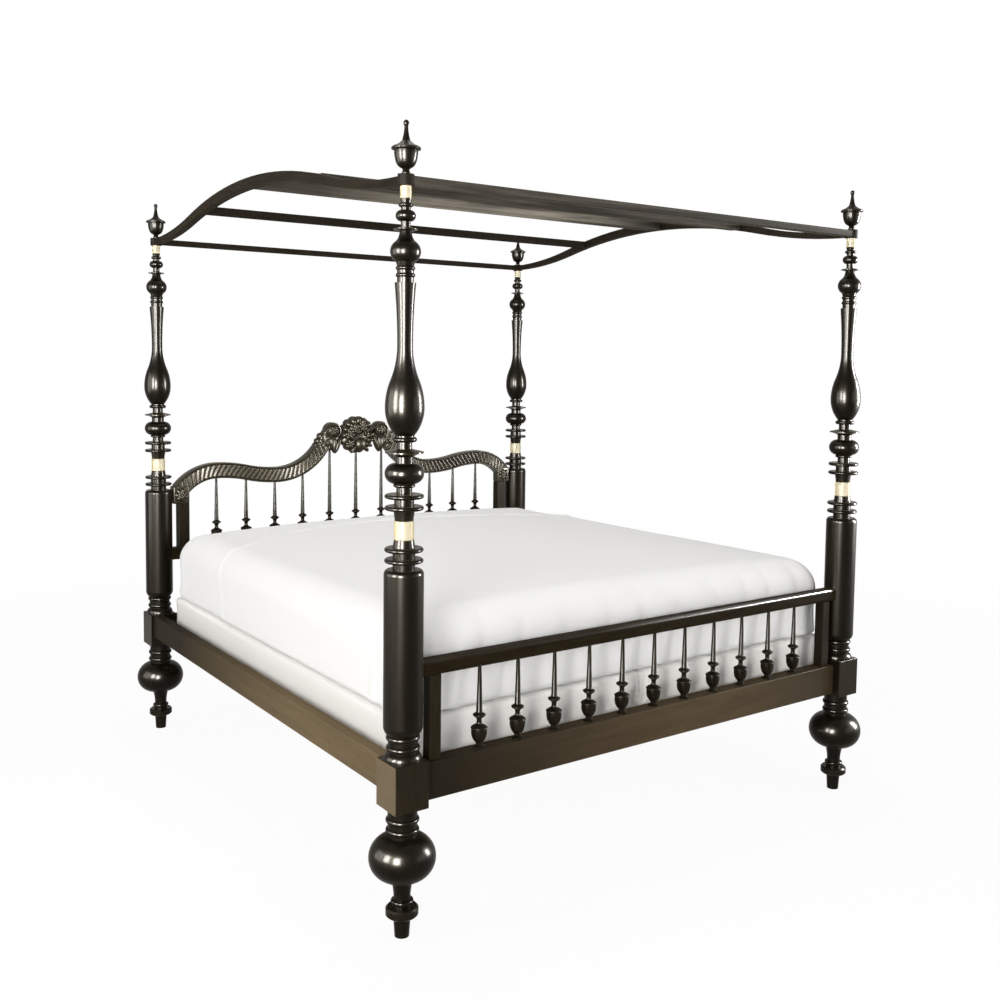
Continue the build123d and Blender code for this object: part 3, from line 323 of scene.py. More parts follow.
board_rail_wood = lacquered_wood(
    "board rail wood", ACROSS_GRAIN, EBONY, EBONY_BROWN,
    figure_share=0.08, polish=0.23, satin=0.40, gloss=0.06, glow=0.006, rim=0.0,
)
board_tree = board_rail_wood.node_tree
board_shader = board_tree.nodes["Principled BSDF"]
board_shader.inputs["Coat IOR"].default_value = POLISH_IOR
board_faces = board_tree.nodes.new("ShaderNodeNewGeometry")
board_upward = along_axis(board_tree, board_faces.outputs["Normal"], "Z")
board_headward = along_axis(board_tree, board_faces.outputs["Normal"], "Y")
board_place = board_tree.nodes.new("ShaderNodeTexCoord")
board_across = along_axis(board_tree, board_place.outputs["Object"], "X")
on_top = value_range(board_tree, board_upward, *FACING_UP, 0, 1)
on_front_edge = product(board_tree, on_top, value_range(board_tree, board_headward, *FACING_FOOT, 1, 0))
hand_rubbed = value_range(board_tree, board_across, *POLISHED_RUN, POLISH_LEAST, 1)
board_tree.links.new(product(board_tree, on_front_edge, hand_rubbed), board_shader.inputs["Coat Weight"])
dress(board_rail_wood, "foot_top_rail", "head_spindle_rail")


# Hidden supports: sawn softwood cleats and slats under the foundation, softwood dowels in the posts,
# and zinc-plated steel hooks and pins.
SOFTWOOD = (0.60, 0.44, 0.26, 1)
SOFTWOOD_LATE = (0.40, 0.25, 0.12, 1)
SOFTWOOD_GRAIN = (1.2, 14.0, 14.0)
SOFTWOOD_ROUGH = (0.55, 0.85)
STEEL = (0.50, 0.49, 0.47, 1)
STEEL_GRAIN = (30.0, 30.0, 30.0)
STEEL_ROUGH = (0.28, 0.5)

softwood, soft_tree, soft_shader, soft_vector = new_material("sawn softwood", SOFTWOOD_GRAIN)
soft_figure = placed_group(soft_tree, figure_group, soft_vector)
soft_shown = mixed_colour(soft_tree, soft_figure.outputs["Figure"], SOFTWOOD, SOFTWOOD_LATE)
soft_rough = value_range(soft_tree, soft_figure.outputs["Pores"], 0, 1, *SOFTWOOD_ROUGH)
soft_tree.links.new(soft_shown, soft_shader.inputs["Base Color"])
soft_tree.links.new(soft_rough, soft_shader.inputs["Roughness"])
surface_bump(soft_tree, soft_figure.outputs["Pores"], strength=0.3, distance=0.001)
dress(softwood, "left_cleat", "right_cleat", "bed_slats", "post_dowels")

plated, plated_tree, plated_shader, plated_vector = new_material("plated steel", STEEL_GRAIN)
plated_figure = placed_group(plated_tree, figure_group, plated_vector)
plated_shader.inputs["Base Color"].default_value = STEEL
plated_shader.inputs["Metallic"].default_value = 1.0
plated_rough = value_range(plated_tree, plated_figure.outputs["Figure"], 0, 1, *STEEL_ROUGH)
plated_tree.links.new(plated_rough, plated_shader.inputs["Roughness"])
dress(plated, "tester_pins", "rail_hook_plates")


# Spindles of both boards: small turnings pegged into the rail, each with an urn whose lower half is
# carved in gadroons, a flat rim, a ring, and a slim shaft that thins towards the rail above it.
SPINDLE_COUNT = 11
SPINDLE_PITCH = 0.146
SPINDLE_STEPS = 48
GADROONS = 10
GADROON_DEPTH = 0.0024
GADROON_ROUND = 0.7
URN_FOOT = 0.014
URN_TOP = 0.058
SPINDLE_LINE = (
    (0.0190, 0.0000), (0.0190, 0.0034), (0.0182, 0.0042), (0.0130, 0.0060), (0.0102, 0.0090),
    (0.0100, 0.0140), (0.0136, 0.0172), (0.0180, 0.0225), (0.0214, 0.0290), (0.0237, 0.0370),
    (0.0247, 0.0450), (0.0246, 0.0530), (0.0240, 0.0580), (0.0256, 0.0592), (0.0263, 0.0606),
    (0.0263, 0.0620), (0.0252, 0.0634), (0.0222, 0.0662), (0.0178, 0.0690), (0.0128, 0.0714),
    (0.0096, 0.0738), (0.0082, 0.0780), (0.0080, 0.0860), (0.0094, 0.0908), (0.0130, 0.0940),
    (0.0180, 0.0972), (0.0202, 0.1000), (0.0204, 0.1014), (0.0196, 0.1034), (0.0150, 0.1062),
    (0.0112, 0.1086), (0.0097, 0.1112),
)
SPINDLE_TOP_RADIUS = 0.005
SPINDLE_GRAIN = (30, 30, 3)


def lathe(bm, line, steps):
    """Spins a line of (radius, height) points about the Z axis, in a bmesh that was empty."""
    verts = [bm.verts.new((radius, 0, height)) for radius, height in line]
    edges = [bm.edges.new(pair) for pair in zip(verts, verts[1:])]
    bmesh.ops.spin(
        bm, geom=verts + edges, cent=(0, 0, 0), axis=(0, 0, 1), angle=math.tau, steps=steps, use_merge=True
    )
    bmesh.ops.remove_doubles(bm, verts=bm.verts[:], dist=1e-6)


def kept_mesh(name, bm):
    """A mesh made from a bmesh, which is then freed."""
    mesh = bpy.data.meshes.new(name)
    bm.to_mesh(mesh)
    bm.free()
    return mesh


def stamp(bm, mesh, matrix):
    """Joins a copy of a mesh to a bmesh, moved by the matrix."""
    before = set(bm.verts)
    bm.from_mesh(mesh)
    for v in bm.verts:
        if v not in before:
            v.co = matrix @ v.co


def carved_spindle(length):
    """The mesh of one spindle that stands at the origin."""
    bm = bmesh.new()
    lathe(bm, [(0.0, 0.0), *SPINDLE_LINE, (SPINDLE_TOP_RADIUS, length), (0.0, length)], SPINDLE_STEPS)
    for v in bm.verts:
        if URN_FOOT < v.co.z < URN_TOP:
            share = math.sin(math.pi * (v.co.z - URN_FOOT) / (URN_TOP - URN_FOOT))
            lobe = abs(math.cos(GADROONS / 2 * math.atan2(v.co.y, v.co.x)))
            reach = Vector((v.co.x, v.co.y, 0))
            v.co -= reach.normalized() * GADROON_DEPTH * share * (1 - lobe**GADROON_ROUND)
    return kept_mesh("spindle", bm)


def finished_piece(name, bm, material, body, smooth_angle=40):
    """Turns a bmesh into an object with recalculated normals and smooth shading, riding on a body."""
    bmesh.ops.recalc_face_normals(bm, faces=bm.faces[:])
    for face in bm.faces:
        face.smooth = True
    for edge in bm.edges:
        if len(edge.link_faces) == 2 and edge.calc_face_angle() > math.radians(smooth_angle):
            edge.smooth = False
    mesh = kept_mesh(name, bm)
    mesh.materials.append(material)
    piece = bpy.data.objects.new(name, mesh)
    bpy.context.scene.collection.objects.link(piece)
    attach(piece, body)
    return piece


spindle_lacquer = lacquered_wood(
    "spindle lacquer", SPINDLE_GRAIN, EBONY, EBONY_BROWN,
    figure_share=0.35, polish=0.16, satin=0.42, gloss=0.05, glow=0.018, rim=0.16,
)
spindle_xs = [(number - (SPINDLE_COUNT - 1) / 2) * SPINDLE_PITCH for number in range(SPINDLE_COUNT)]
foot_low, foot_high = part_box("foot_spindles")
foot_y = (foot_low.y + foot_high.y) / 2
foot_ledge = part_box("foot_rail")[1].z
foot_spindle = carved_spindle(foot_high.z - foot_ledge)
bm = bmesh.new()
for x in spindle_xs:
    stamp(bm, foot_spindle, Matrix.Translation((x, foot_y, foot_ledge)))
foot_spindles = finished_piece("foot_spindles_carved", bm, spindle_lacquer, "bedstead")
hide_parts("foot_spindles")


# Serpentine top rail of the headboard, in two halves: a thick moulding carved on the face towards the
# foot with a slanting rope between two plain beads. Each half springs from a block with a rosette and
# ends in a scroll with another, from which a leaf runs down over the moulding.
ARCH_END = (0.903, 1.090)
ARCH_SHOULDER = (0.730, 1.173)
ARCH_DIP = (0.430, 1.138)
ARCH_NECK = (0.205, 1.250)
ARCH_NECK_RUN = 0.116
ARCH_HALF_DEEP = 0.036
ARCH_HALF_THICK = 0.026
ARCH_ROUND = 0.006
ARCH_STATIONS = 420
ARC_STEPS = 60
FACE_STEPS = 32
BACK_STEPS = 8
EDGE_STEPS = 6
ROUND_STEPS = 4
ROPE_PITCH = 0.0235
ROPE_LEAN = 0.044
ROPE_DEPTH = 0.0068
ROPE_HALF_WIDTH = 0.0265
ROPE_EDGE = 0.002
CARVED_FACE = (0.8, 0.97)
BEAD_GAP = 0.0282
BEAD_GAP_WIDE = 0.0016
BEAD_GAP_DEPTH = 0.0036
LEAF_RUN = 0.100
LEAF_FULL = 0.8
LEAF_VEIN = 0.034
VEIN_LEAN = 0.05
VEIN_SHARE = 0.5
MIDRIB = (0.002, 0.007)
LEAF_LOBES = ((0.060, 0.034, 0.018), (0.088, 0.033, 0.016), (0.112, 0.031, 0.012))
LOBE_HALF_THICK = 0.024
LEAF_FINGERS = ((70, 0.123), (84, 0.113), (98, 0.102), (112, 0.094))
FINGER_MIDDLE = 0.62
FINGER_REACH = 0.38
FINGER_PROUD = 0.012
FINGER_HALF_THICK = 0.018
FINGER_HALF_WIDE = 0.0125
SCROLL_RADIUS = 0.041
SCROLL_LINE = (
    (0.0, -0.032), (0.90, -0.032), (0.98, -0.024), (1.0, -0.014), (1.0, 0.014), (0.98, 0.024),
    (0.90, 0.032), (0.78, 0.033), (0.70, 0.026), (0.62, 0.030), (0.0, 0.030),
)
SCROLL_STEPS = 56
SCROLL_FACE = 0.031
SCROLL_ROSETTE = 0.025
END_BLOCK_LOW = (0.865, 1.030)
END_BLOCK_HIGH = (0.9405, 1.110)
END_BLOCK_HALF_THICK = 0.026
END_BLOCK_BEVEL = 0.006
BLOCK_ROSETTE = 0.034
PETAL_RINGS = ((0.62, 0.40, 0.27, 0.10, 0.0), (0.34, 0.26, 0.20, 0.22, 0.5))
PETAL_THICK = 0.20
PETAL_TILT = 22
BUTTON_RADIUS = 0.20
BUTTON_PROUD = 0.26
CARVING_GRAIN = (26, 26, 26)

head_low, head_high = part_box("head_spindle_rail")
head_y = (head_low.y + head_high.y) / 2


def level_arc(level, other, steps):
    """Points of the arc from its level end to its other end."""
    across = other[0] - level[0]
    up = other[1] - level[1]
    radius = (across * across + up * up) / (2 * abs(up))
    sweep = math.asin(min(1.0, abs(across) / radius))
    points = []
    for step in range(steps + 1):
        turn = sweep * step / steps
        side = math.copysign(radius * math.sin(turn), across)
        rise = math.copysign(radius * (1 - math.cos(turn)), up)
        points.append(Vector((level[0] + side, 0, level[1] + rise)))
    return points


middle = ((ARCH_SHOULDER[0] + ARCH_DIP[0]) / 2, (ARCH_SHOULDER[1] + ARCH_DIP[1]) / 2)
neck_arc = level_arc(ARCH_DIP, ARCH_NECK, ARC_STEPS)
neck_way = (neck_arc[-1] - neck_arc[-2]).normalized()
neck_side = Vector((neck_way.z, 0, -neck_way.x))
scroll_centre = neck_arc[-1] + neck_way * ARCH_NECK_RUN
arch_line = level_arc(ARCH_SHOULDER, ARCH_END, ARC_STEPS)[::-1]
arch_line += level_arc(ARCH_SHOULDER, middle, ARC_STEPS)[1:]
arch_line += level_arc(ARCH_DIP, middle, ARC_STEPS)[::-1][1:]
arch_line += neck_arc[1:]
arch_line.append(scroll_centre)


def even_stations(points, count):
    """Evenly spaced (point, direction, length so far) along a line of points, and the whole length."""
    lengths = [0.0]
    for first, second in zip(points, points[1:]):
        lengths.append(lengths[-1] + (second - first).length)
    stations = []
    index = 0
    for number in range(count + 1):
        run = lengths[-1] * number / count
        while index < len(points) - 2 and lengths[index + 1] < run:
            index += 1
        span = points[index + 1] - points[index]
        share = (run - lengths[index]) / max(span.length, 1e-9)
        stations.append((points[index] + span * share, span.normalized(), run))
    return stations, lengths[-1]


arch_stations, arch_length = even_stations(arch_line, ARCH_STATIONS)


def straight(first, second, steps):
    """Evenly spaced (thickness, depth) places along a straight side, both ends among them."""
    return [Vector(first).lerp(Vector(second), step / steps) for step in range(steps + 1)]


def bend(centre, start):
    """The places on a quarter round between two sides, from the angle start in degrees."""
    turns = [math.radians(start - 90 * step / ROUND_STEPS) for step in range(1, ROUND_STEPS)]
    return [Vector(centre) + ARCH_ROUND * Vector((math.cos(turn), math.sin(turn))) for turn in turns]


flat_thick = ARCH_HALF_THICK - ARCH_ROUND
flat_deep = ARCH_HALF_DEEP - ARCH_ROUND
moulding_section = straight((-ARCH_HALF_THICK, -flat_deep), (-ARCH_HALF_THICK, flat_deep), FACE_STEPS)
moulding_section += bend((-flat_thick, flat_deep), 180)
moulding_section += straight((-flat_thick, ARCH_HALF_DEEP), (flat_thick, ARCH_HALF_DEEP), EDGE_STEPS)
moulding_section += bend((flat_thick, flat_deep), 90)
moulding_section += straight((ARCH_HALF_THICK, flat_deep), (ARCH_HALF_THICK, -flat_deep), BACK_STEPS)
moulding_section += bend((flat_thick, -flat_deep), 0)
moulding_section += straight((flat_thick, -ARCH_HALF_DEEP), (-flat_thick, -ARCH_HALF_DEEP), EDGE_STEPS)
moulding_section += bend((-flat_thick, -flat_deep), -90)


def smooth_step(value, low, high):
    """Goes smoothly from 0 at low to 1 at high."""
    share = max(0.0, min(1.0, (value - low) / (high - low)))
    return share * share * (3 - 2 * share)


def carved(thick, deep, run):
    """Where a place on the plain section comes to after carving, at a length along the moulding."""
    front = smooth_step(-thick, ARCH_HALF_THICK * CARVED_FACE[0], ARCH_HALF_THICK * CARVED_FACE[1])
    leaf = smooth_step(run, arch_length - LEAF_RUN, arch_length - LEAF_RUN * LEAF_FULL)
    strand = abs(2 * ((run / ROPE_PITCH - deep / ROPE_LEAN) % 1) - 1)
    inside = 1 - smooth_step(abs(deep), ROPE_HALF_WIDTH - ROPE_EDGE, ROPE_HALF_WIDTH)
    gap = BEAD_GAP_DEPTH * math.exp(-(((abs(deep) - BEAD_GAP) / BEAD_GAP_WIDE) ** 2))
    rope = ROPE_DEPTH * strand**2 * inside + gap
    vein = abs(2 * ((run / LEAF_VEIN - abs(deep) / VEIN_LEAN) % 1) - 1)
    rib = smooth_step(abs(deep), *MIDRIB)
    veins = VEIN_SHARE * ROPE_DEPTH * (vein**2 * rib - (1 - rib))
    thick += (rope * (1 - leaf) + veins * leaf) * front
    return thick, deep


def rosette(petals):
    """The mesh of a carved flower of radius 1 that faces the foot: rings of petals round a button."""
    bm = bmesh.new()
    for ring, length, width, lift, shift in PETAL_RINGS:
        for number in range(petals):
            petal = Matrix.Rotation(math.tau * (number + shift) / petals, 4, "Y")
            petal @= Matrix.Translation((ring, -lift, 0))
            petal @= Matrix.Rotation(math.radians(PETAL_TILT), 4, "Z")
            petal @= Matrix.Diagonal((length, PETAL_THICK, width, 1))
            bmesh.ops.create_uvsphere(bm, u_segments=10, v_segments=7, radius=1, matrix=petal)
    button = Matrix.Translation((0, -BUTTON_PROUD, 0)) @ Matrix.Scale(BUTTON_RADIUS, 4)
    bmesh.ops.create_uvsphere(bm, u_segments=12, v_segments=8, radius=1, matrix=button)
    return kept_mesh("rosette", bm)


def facing_disc(radius, line, steps):
    """The mesh of a disc that faces the foot: line holds (share of the radius, height) points."""
    bm = bmesh.new()
    lathe(bm, [(radius * share, height) for share, height in line], steps)
    to_foot = Matrix.Rotation(math.radians(90), 3, "X")
    bmesh.ops.rotate(bm, verts=bm.verts[:], cent=(0, 0, 0), matrix=to_foot)
    return kept_mesh("disc", bm)


def rounded_lump():
    """The mesh of a ball of radius 1, the start of every carved leaf tip and bead."""
    bm = bmesh.new()
    bmesh.ops.create_uvsphere(bm, u_segments=16, v_segments=10, radius=1)
    return kept_mesh("lump", bm)


rosette_of_seven = rosette(7)
lump = rounded_lump()
scroll = facing_disc(SCROLL_RADIUS, SCROLL_LINE, SCROLL_STEPS)


def carved_half():
    """The mesh of the right half of the top rail."""
    bm = bmesh.new()
    around = len(moulding_section)
    grid = bmesh.ops.create_grid(bm, x_segments=around, y_segments=ARCH_STATIONS, size=1)["verts"]
    for v in grid:
        point, way, run = arch_stations[round((v.co.y + 1) / 2 * ARCH_STATIONS)]
        thick, deep = carved(*moulding_section[round((v.co.x + 1) / 2 * around) % around], run)
        v.co = point + Vector((way.z * deep, thick, -way.x * deep))
    bmesh.ops.remove_doubles(bm, verts=bm.verts[:], dist=1e-6)
    bmesh.ops.holes_fill(bm, edges=[edge for edge in bm.edges if edge.is_boundary], sides=0)

    stamp(bm, scroll, Matrix.Translation(scroll_centre))
    face = Vector((0, -SCROLL_FACE, 0))
    stamp(bm, rosette_of_seven, Matrix.Translation(scroll_centre + face) @ Matrix.Scale(SCROLL_ROSETTE, 4))
    for along, out, size in LEAF_LOBES:
        lobe = Matrix.Translation(scroll_centre - neck_way * along + neck_side * out)
        stamp(bm, lump, lobe @ Matrix.Diagonal((size, LOBE_HALF_THICK, size, 1)))
    for turn, length in LEAF_FINGERS:
        away = Vector((-math.cos(math.radians(turn)), 0, -math.sin(math.radians(turn))))
        middle_out = away * length * FINGER_MIDDLE + Vector((0, -FINGER_PROUD, 0))
        finger = Matrix.Translation(scroll_centre + middle_out)
        finger @= Matrix.Rotation(math.radians(turn) + math.pi, 4, "Y")
        finger @= Matrix.Diagonal((length * FINGER_REACH, FINGER_HALF_THICK, FINGER_HALF_WIDE, 1))
        stamp(bm, lump, finger)

    low = Vector((END_BLOCK_LOW[0], -END_BLOCK_HALF_THICK, END_BLOCK_LOW[1]))
    high = Vector((END_BLOCK_HIGH[0], END_BLOCK_HALF_THICK, END_BLOCK_HIGH[1]))
    block_middle = (low + high) / 2
    block = Matrix.Translation(block_middle) @ Matrix.Diagonal((*(high - low), 1))
    cube = bmesh.ops.create_cube(bm, size=1, matrix=block)
    bmesh.ops.bevel(
        bm, geom=list({edge for v in cube["verts"] for edge in v.link_edges}), offset=END_BLOCK_BEVEL,
        offset_type="OFFSET", segments=3, profile=0.5, affect="EDGES", material=-1,
    )
    face = Vector((0, -END_BLOCK_HALF_THICK, 0))
    stamp(bm, rosette_of_seven, Matrix.Translation(block_middle + face) @ Matrix.Scale(BLOCK_ROSETTE, 4))
    return kept_mesh("half", bm)


carving_lacquer = lacquered_wood(
    "carving lacquer", CARVING_GRAIN, EBONY, EBONY_BROWN,
    figure_share=0.5, polish=0.24, satin=0.46, gloss=0.10, glow=0.09, rim=0.16,
)
top_rail_half = carved_half()
for side, node in ((1, "head_right_arch"), (-1, "head_left_arch")):
    bm = bmesh.new()
    stamp(bm, top_rail_half, Matrix.Translation((0, head_y, 0)) @ Matrix.Diagonal((side, 1, 1, 1)))
    arch_half = finished_piece(f"{node}_carved", bm, carving_lacquer, "bedstead", smooth_angle=55)
    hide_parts(node)


# Crest: a carved cluster glued between the scrolls: a domed, scalloped disc under a hood of petals and
# blossoms, with a slanting string of beads and a smooth bell-shaped boss at its foot.
CREST_DROP = 0.024
CREST_RADIUS = 0.084
CREST_HALF_THICK = 0.026
CREST_LINE = (
    (0.0, -CREST_HALF_THICK), (0.88, -CREST_HALF_THICK), (0.97, -0.020), (1.0, -0.012),
    (1.0, 0.008), (0.95, 0.018), (0.80, CREST_HALF_THICK), (0.0, 0.038),
)
CREST_STEPS = 140
CREST_RIM = 0.8
CREST_LOBES = 14
CREST_LOBE_DEPTH = 0.010
CREST_LOBE_ROUND = 0.6
HOOD_ROWS = ((0.070, 9, 0.019), (0.046, 6, 0.017))
HOOD_SPAN = (-12, 192)
HOOD_PETAL = (1.15, 0.8)
HOOD_PETAL_THICK = 0.018
BLOSSOMS = (
    (-0.050, 0.004, 0.030), (-0.020, 0.030, 0.028), (0.022, 0.044, 0.026), (-0.048, -0.044, 0.026),
)
BLOSSOM_PROUD = 0.010
BLOSSOM_TURN = 40
SPRAY = (
    (0.062, -0.002, 30), (0.066, -0.026, 5), (0.056, -0.050, -25), (0.040, -0.068, -50),
    (-0.030, -0.070, 240),
)
SPRAY_LEAF = (0.024, 0.020, 0.011, 1)
BOSS_PLACE = Vector((0.012, -0.004, -0.048))
BOSS_SIZE = (0.031, 0.022, 0.034, 1)
STRING_START = Vector((-0.024, -0.021, -0.010))
STRING_END = Vector((0.080, -0.021, 0.036))
STRING_BEADS = 9
BEAD_SIZE = (0.0066, 0.009, 0.0066, 1)

crest_centre = Vector((0, head_y, scroll_centre.z - CREST_DROP))
crest_front = crest_centre + Vector((0, -CREST_HALF_THICK, 0))
crest_plate = facing_disc(CREST_RADIUS, CREST_LINE, CREST_STEPS)
bm = bmesh.new()
stamp(bm, crest_plate, Matrix.Translation(crest_centre))
for v in bm.verts:
    reach = Vector((v.co.x - crest_centre.x, 0, v.co.z - crest_centre.z))
    if reach.length > CREST_RADIUS * CREST_RIM:
        lobe = abs(math.cos(CREST_LOBES / 2 * math.atan2(reach.z, reach.x)))
        v.co += reach.normalized() * CREST_LOBE_DEPTH * lobe**CREST_LOBE_ROUND
for spread, count, size in HOOD_ROWS:
    for number in range(count):
        turn = math.radians(HOOD_SPAN[0] + (HOOD_SPAN[1] - HOOD_SPAN[0]) * (number + 0.5) / count)
        away = Vector((math.cos(turn), 0, math.sin(turn)))
        petal = Matrix.Translation(crest_front + away * spread) @ Matrix.Rotation(-turn, 4, "Y")
        petal @= Matrix.Diagonal((size * HOOD_PETAL[0], HOOD_PETAL_THICK, size * HOOD_PETAL[1], 1))
        stamp(bm, lump, petal)
rosette_of_six = rosette(6)
for x, z, size in BLOSSOMS:
    blossom = Matrix.Translation(crest_front + Vector((x, -BLOSSOM_PROUD, z)))
    blossom @= Matrix.Rotation(x * BLOSSOM_TURN, 4, "Y") @ Matrix.Scale(size, 4)
    stamp(bm, rosette_of_six, blossom)
for x, z, turn in SPRAY:
    leaf = Matrix.Translation(crest_front + Vector((x, 0, z)))
    leaf @= Matrix.Rotation(-math.radians(turn), 4, "Y") @ Matrix.Diagonal(SPRAY_LEAF)
    stamp(bm, lump, leaf)
stamp(bm, lump, Matrix.Translation(crest_front + BOSS_PLACE) @ Matrix.Diagonal(BOSS_SIZE))
for number in range(STRING_BEADS):
    bead = STRING_START.lerp(STRING_END, number / (STRING_BEADS - 1))
    stamp(bm, lump, Matrix.Translation(crest_front + bead) @ Matrix.Diagonal(BEAD_SIZE))
crest = finished_piece("head_crest_carved", bm, carving_lacquer, "bedstead", smooth_angle=60)
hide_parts("head_crest")


# Head spindles: the same turning as at the foot, pegged into the spindle rail. Each shaft is as long as
# the carved rail above it asks, and its end is let into that rail.
SPINDLE_PEG = 0.012
NEAR_SPINDLE = 0.006


def arch_underside(x):
    """The height of the moulding's lower edge straight above a place across the bed."""
    if x < SPINDLE_PITCH / 2:
        return crest_centre.z - CREST_RADIUS
    lows = []
    for point, way, _ in arch_stations:
        low_edge = point - Vector((way.z, 0, -way.x)) * ARCH_HALF_DEEP
        if abs(low_edge.x - x) < NEAR_SPINDLE:
            lows.append(low_edge.z)
    return min(lows)


bm = bmesh.new()
for x in spindle_xs:
    head_spindle = carved_spindle(arch_underside(abs(x)) + SPINDLE_PEG - head_high.z)
    stamp(bm, head_spindle, Matrix.Translation((x, head_y, head_high.z)))
head_spindles = finished_piece("head_spindles_carved", bm, spindle_lacquer, "bedstead")
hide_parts("head_spindles")


# Tester: two sawn ogee arches joined by slats and end rails, stained like the rails and left satin. The
# wide boards at the crown and the foot took the stain in streaks along their grain. Pins glued in its
# corner eyes drop into the posts, and it lifts off in one piece.
TESTER_BLACK = (0.0042, 0.0034, 0.0024, 1)
TESTER_BROWN = (0.030, 0.0235, 0.0165, 1)
TESTER_FOOT_BROWN = (0.125, 0.109, 0.086, 1)
STREAK_BLACK = (0.010, 0.0084, 0.0062, 1)
STREAK_BROWN = (0.40, 0.357, 0.293, 1)
BOARD_GRAIN = (0.5, 6.5, 6.5)
STREAK_GRAIN = (0.35, 9.0, 12.0)
STREAK_BAND = (0.44, 0.60)
STREAK_SHARE = 0.8
CROWN_PALEST = 0.10
CROWN_DARKENS = (0.20, 0.85)
CROWN_DARKEST = 0.78

tester_side_wood = lacquered_wood(
    "tester arch wood", ALONG_GRAIN, TESTER_BLACK, TESTER_BROWN,
    figure_share=0.8, polish=0.42, satin=0.60, gloss=0.012, glow=0.006, rim=0.02,
)
tester_head_wood = lacquered_wood(
    "tester head wood", ACROSS_GRAIN, TESTER_BLACK, TESTER_BROWN,
    figure_share=0.6, polish=0.50, satin=0.70, gloss=0.005, glow=0.003, rim=0.0,
)
tester_crown_wood = lacquered_wood(
    "tester crown wood", BOARD_GRAIN, STREAK_BLACK, STREAK_BROWN,
    figure_share=0.9, polish=0.50, satin=0.70, gloss=0.02, glow=0.01, rim=0.02,
)
tester_foot_wood = lacquered_wood(
    "tester foot wood", BOARD_GRAIN, TESTER_BLACK, TESTER_FOOT_BROWN,
    figure_share=0.8, polish=0.50, satin=0.70, gloss=0.02, glow=0.01, rim=0.02,
)
crown_tree = tester_crown_wood.node_tree
crown_place = crown_tree.nodes.new("ShaderNodeTexCoord").outputs["Object"]
# Painted light and shade: the crown board's underside is lighter in the middle and darker towards both ends.
from_palest = away_from(crown_tree, along_axis(crown_tree, crown_place, "X"), CROWN_PALEST)
crown_painted_shade = value_range(crown_tree, from_palest, *CROWN_DARKENS, 0, CROWN_DARKEST)
stain_or_shade_over(tester_crown_wood, crown_painted_shade, TESTER_BLACK)
for board_wood in (tester_crown_wood, tester_foot_wood):
    streak_tree = board_wood.node_tree
    streak_place = streak_tree.nodes.new("ShaderNodeTexCoord")
    streak_mapping = streak_tree.nodes.new("ShaderNodeMapping")
    streak_mapping.inputs["Scale"].default_value = STREAK_GRAIN
    streaks = noise_texture(streak_tree, scale=3.2, detail=4.0, roughness=0.6, distortion=0.3)
    streak_tree.links.new(streak_place.outputs["Object"], streak_mapping.inputs["Vector"])
    streak_tree.links.new(streak_mapping.outputs["Vector"], streaks.inputs["Vector"])
    streak_stain = value_range(streak_tree, streaks.outputs["Fac"], *STREAK_BAND, 0, STREAK_SHARE)
    stain_or_shade_over(board_wood, streak_stain, STREAK_BLACK)
dress(tester_side_wood, "tester_left_arch", "tester_right_arch")
dress(tester_head_wood, "tester_head_rail", "tester_head_slat")
dress(tester_crown_wood, "tester_crown_slat")
dress(tester_foot_wood, "tester_foot_rail", "tester_foot_slat")


# Foundation: two low box springs side by side, plain boxes covered in white cloth, with softly rounded
# upper and lower edges and the corners drawn tight.
CLOTH_WHITE = (0.90, 0.89, 0.865, 1)
CLOTH_SHADE = (0.84, 0.83, 0.80, 1)
CLOTH_GRAIN = (1.0, 1.0, 1.0)
WEAVE_BAND = (0.3, 0.7)
WEAVE_SHADE = 0.25
CLOTH_ROUGH = (0.8, 0.98)
SPRING_GRID = (40, 80)
BORDER_ROLL = 0.016
BORDER_ROLL_STEPS = 6
BORDER_SPREAD = 0.010
BORDER_BOW = 0.003
BORDER_STEPS = 9
BORDER_WAVER = 0.0015
WAVER_PITCH = Vector((6, 6, 9))
EDGE_BUNCHING = 0.5

weave_group, weave_in, weave_out = shader_group(
    "Plain weave",
    [("Vector", "NodeSocketVector")],
    [("Thread", "NodeSocketFloat"), ("Crease", "NodeSocketFloat")],
)
weave_threads = noise_texture(weave_group, scale=700.0, detail=2.0, roughness=0.5)
weave_creases = noise_texture(weave_group, scale=7.0, detail=4.0, roughness=0.55, distortion=0.5)
weave_group.links.new(weave_in.outputs["Vector"], weave_threads.inputs["Vector"])
weave_group.links.new(weave_in.outputs["Vector"], weave_creases.inputs["Vector"])
weave_group.links.new(weave_threads.outputs["Fac"], weave_out.inputs["Thread"])
weave_group.links.new(weave_creases.outputs["Fac"], weave_out.inputs["Crease"])


def white_cloth(name, light, shade, crease_strength):
    """Bleached cotton: a fine weave, soft creases and a slight greying between the threads."""
    material, tree, shader, vector = new_material(name, CLOTH_GRAIN)
    weave = placed_group(tree, weave_group, vector)
    share = value_range(tree, weave.outputs["Thread"], *WEAVE_BAND, 0, WEAVE_SHADE)
    rough = value_range(tree, weave.outputs["Thread"], 0, 1, *CLOTH_ROUGH)
    tree.links.new(mixed_colour(tree, share, light, shade), shader.inputs["Base Color"])
    tree.links.new(rough, shader.inputs["Roughness"])
    shader.inputs["Specular IOR Level"].default_value = 0.02
    shader.inputs["Sheen Weight"].default_value = 0.1
    surface_bump(tree, weave.outputs["Crease"], crease_strength, distance=0.01)
    return material


def bunched(share):
    """A place from -1 to 1, drawn towards the ends, so that a grid is closest at its edges."""
    return share + EDGE_BUNCHING * math.sin(math.pi * share) / math.pi


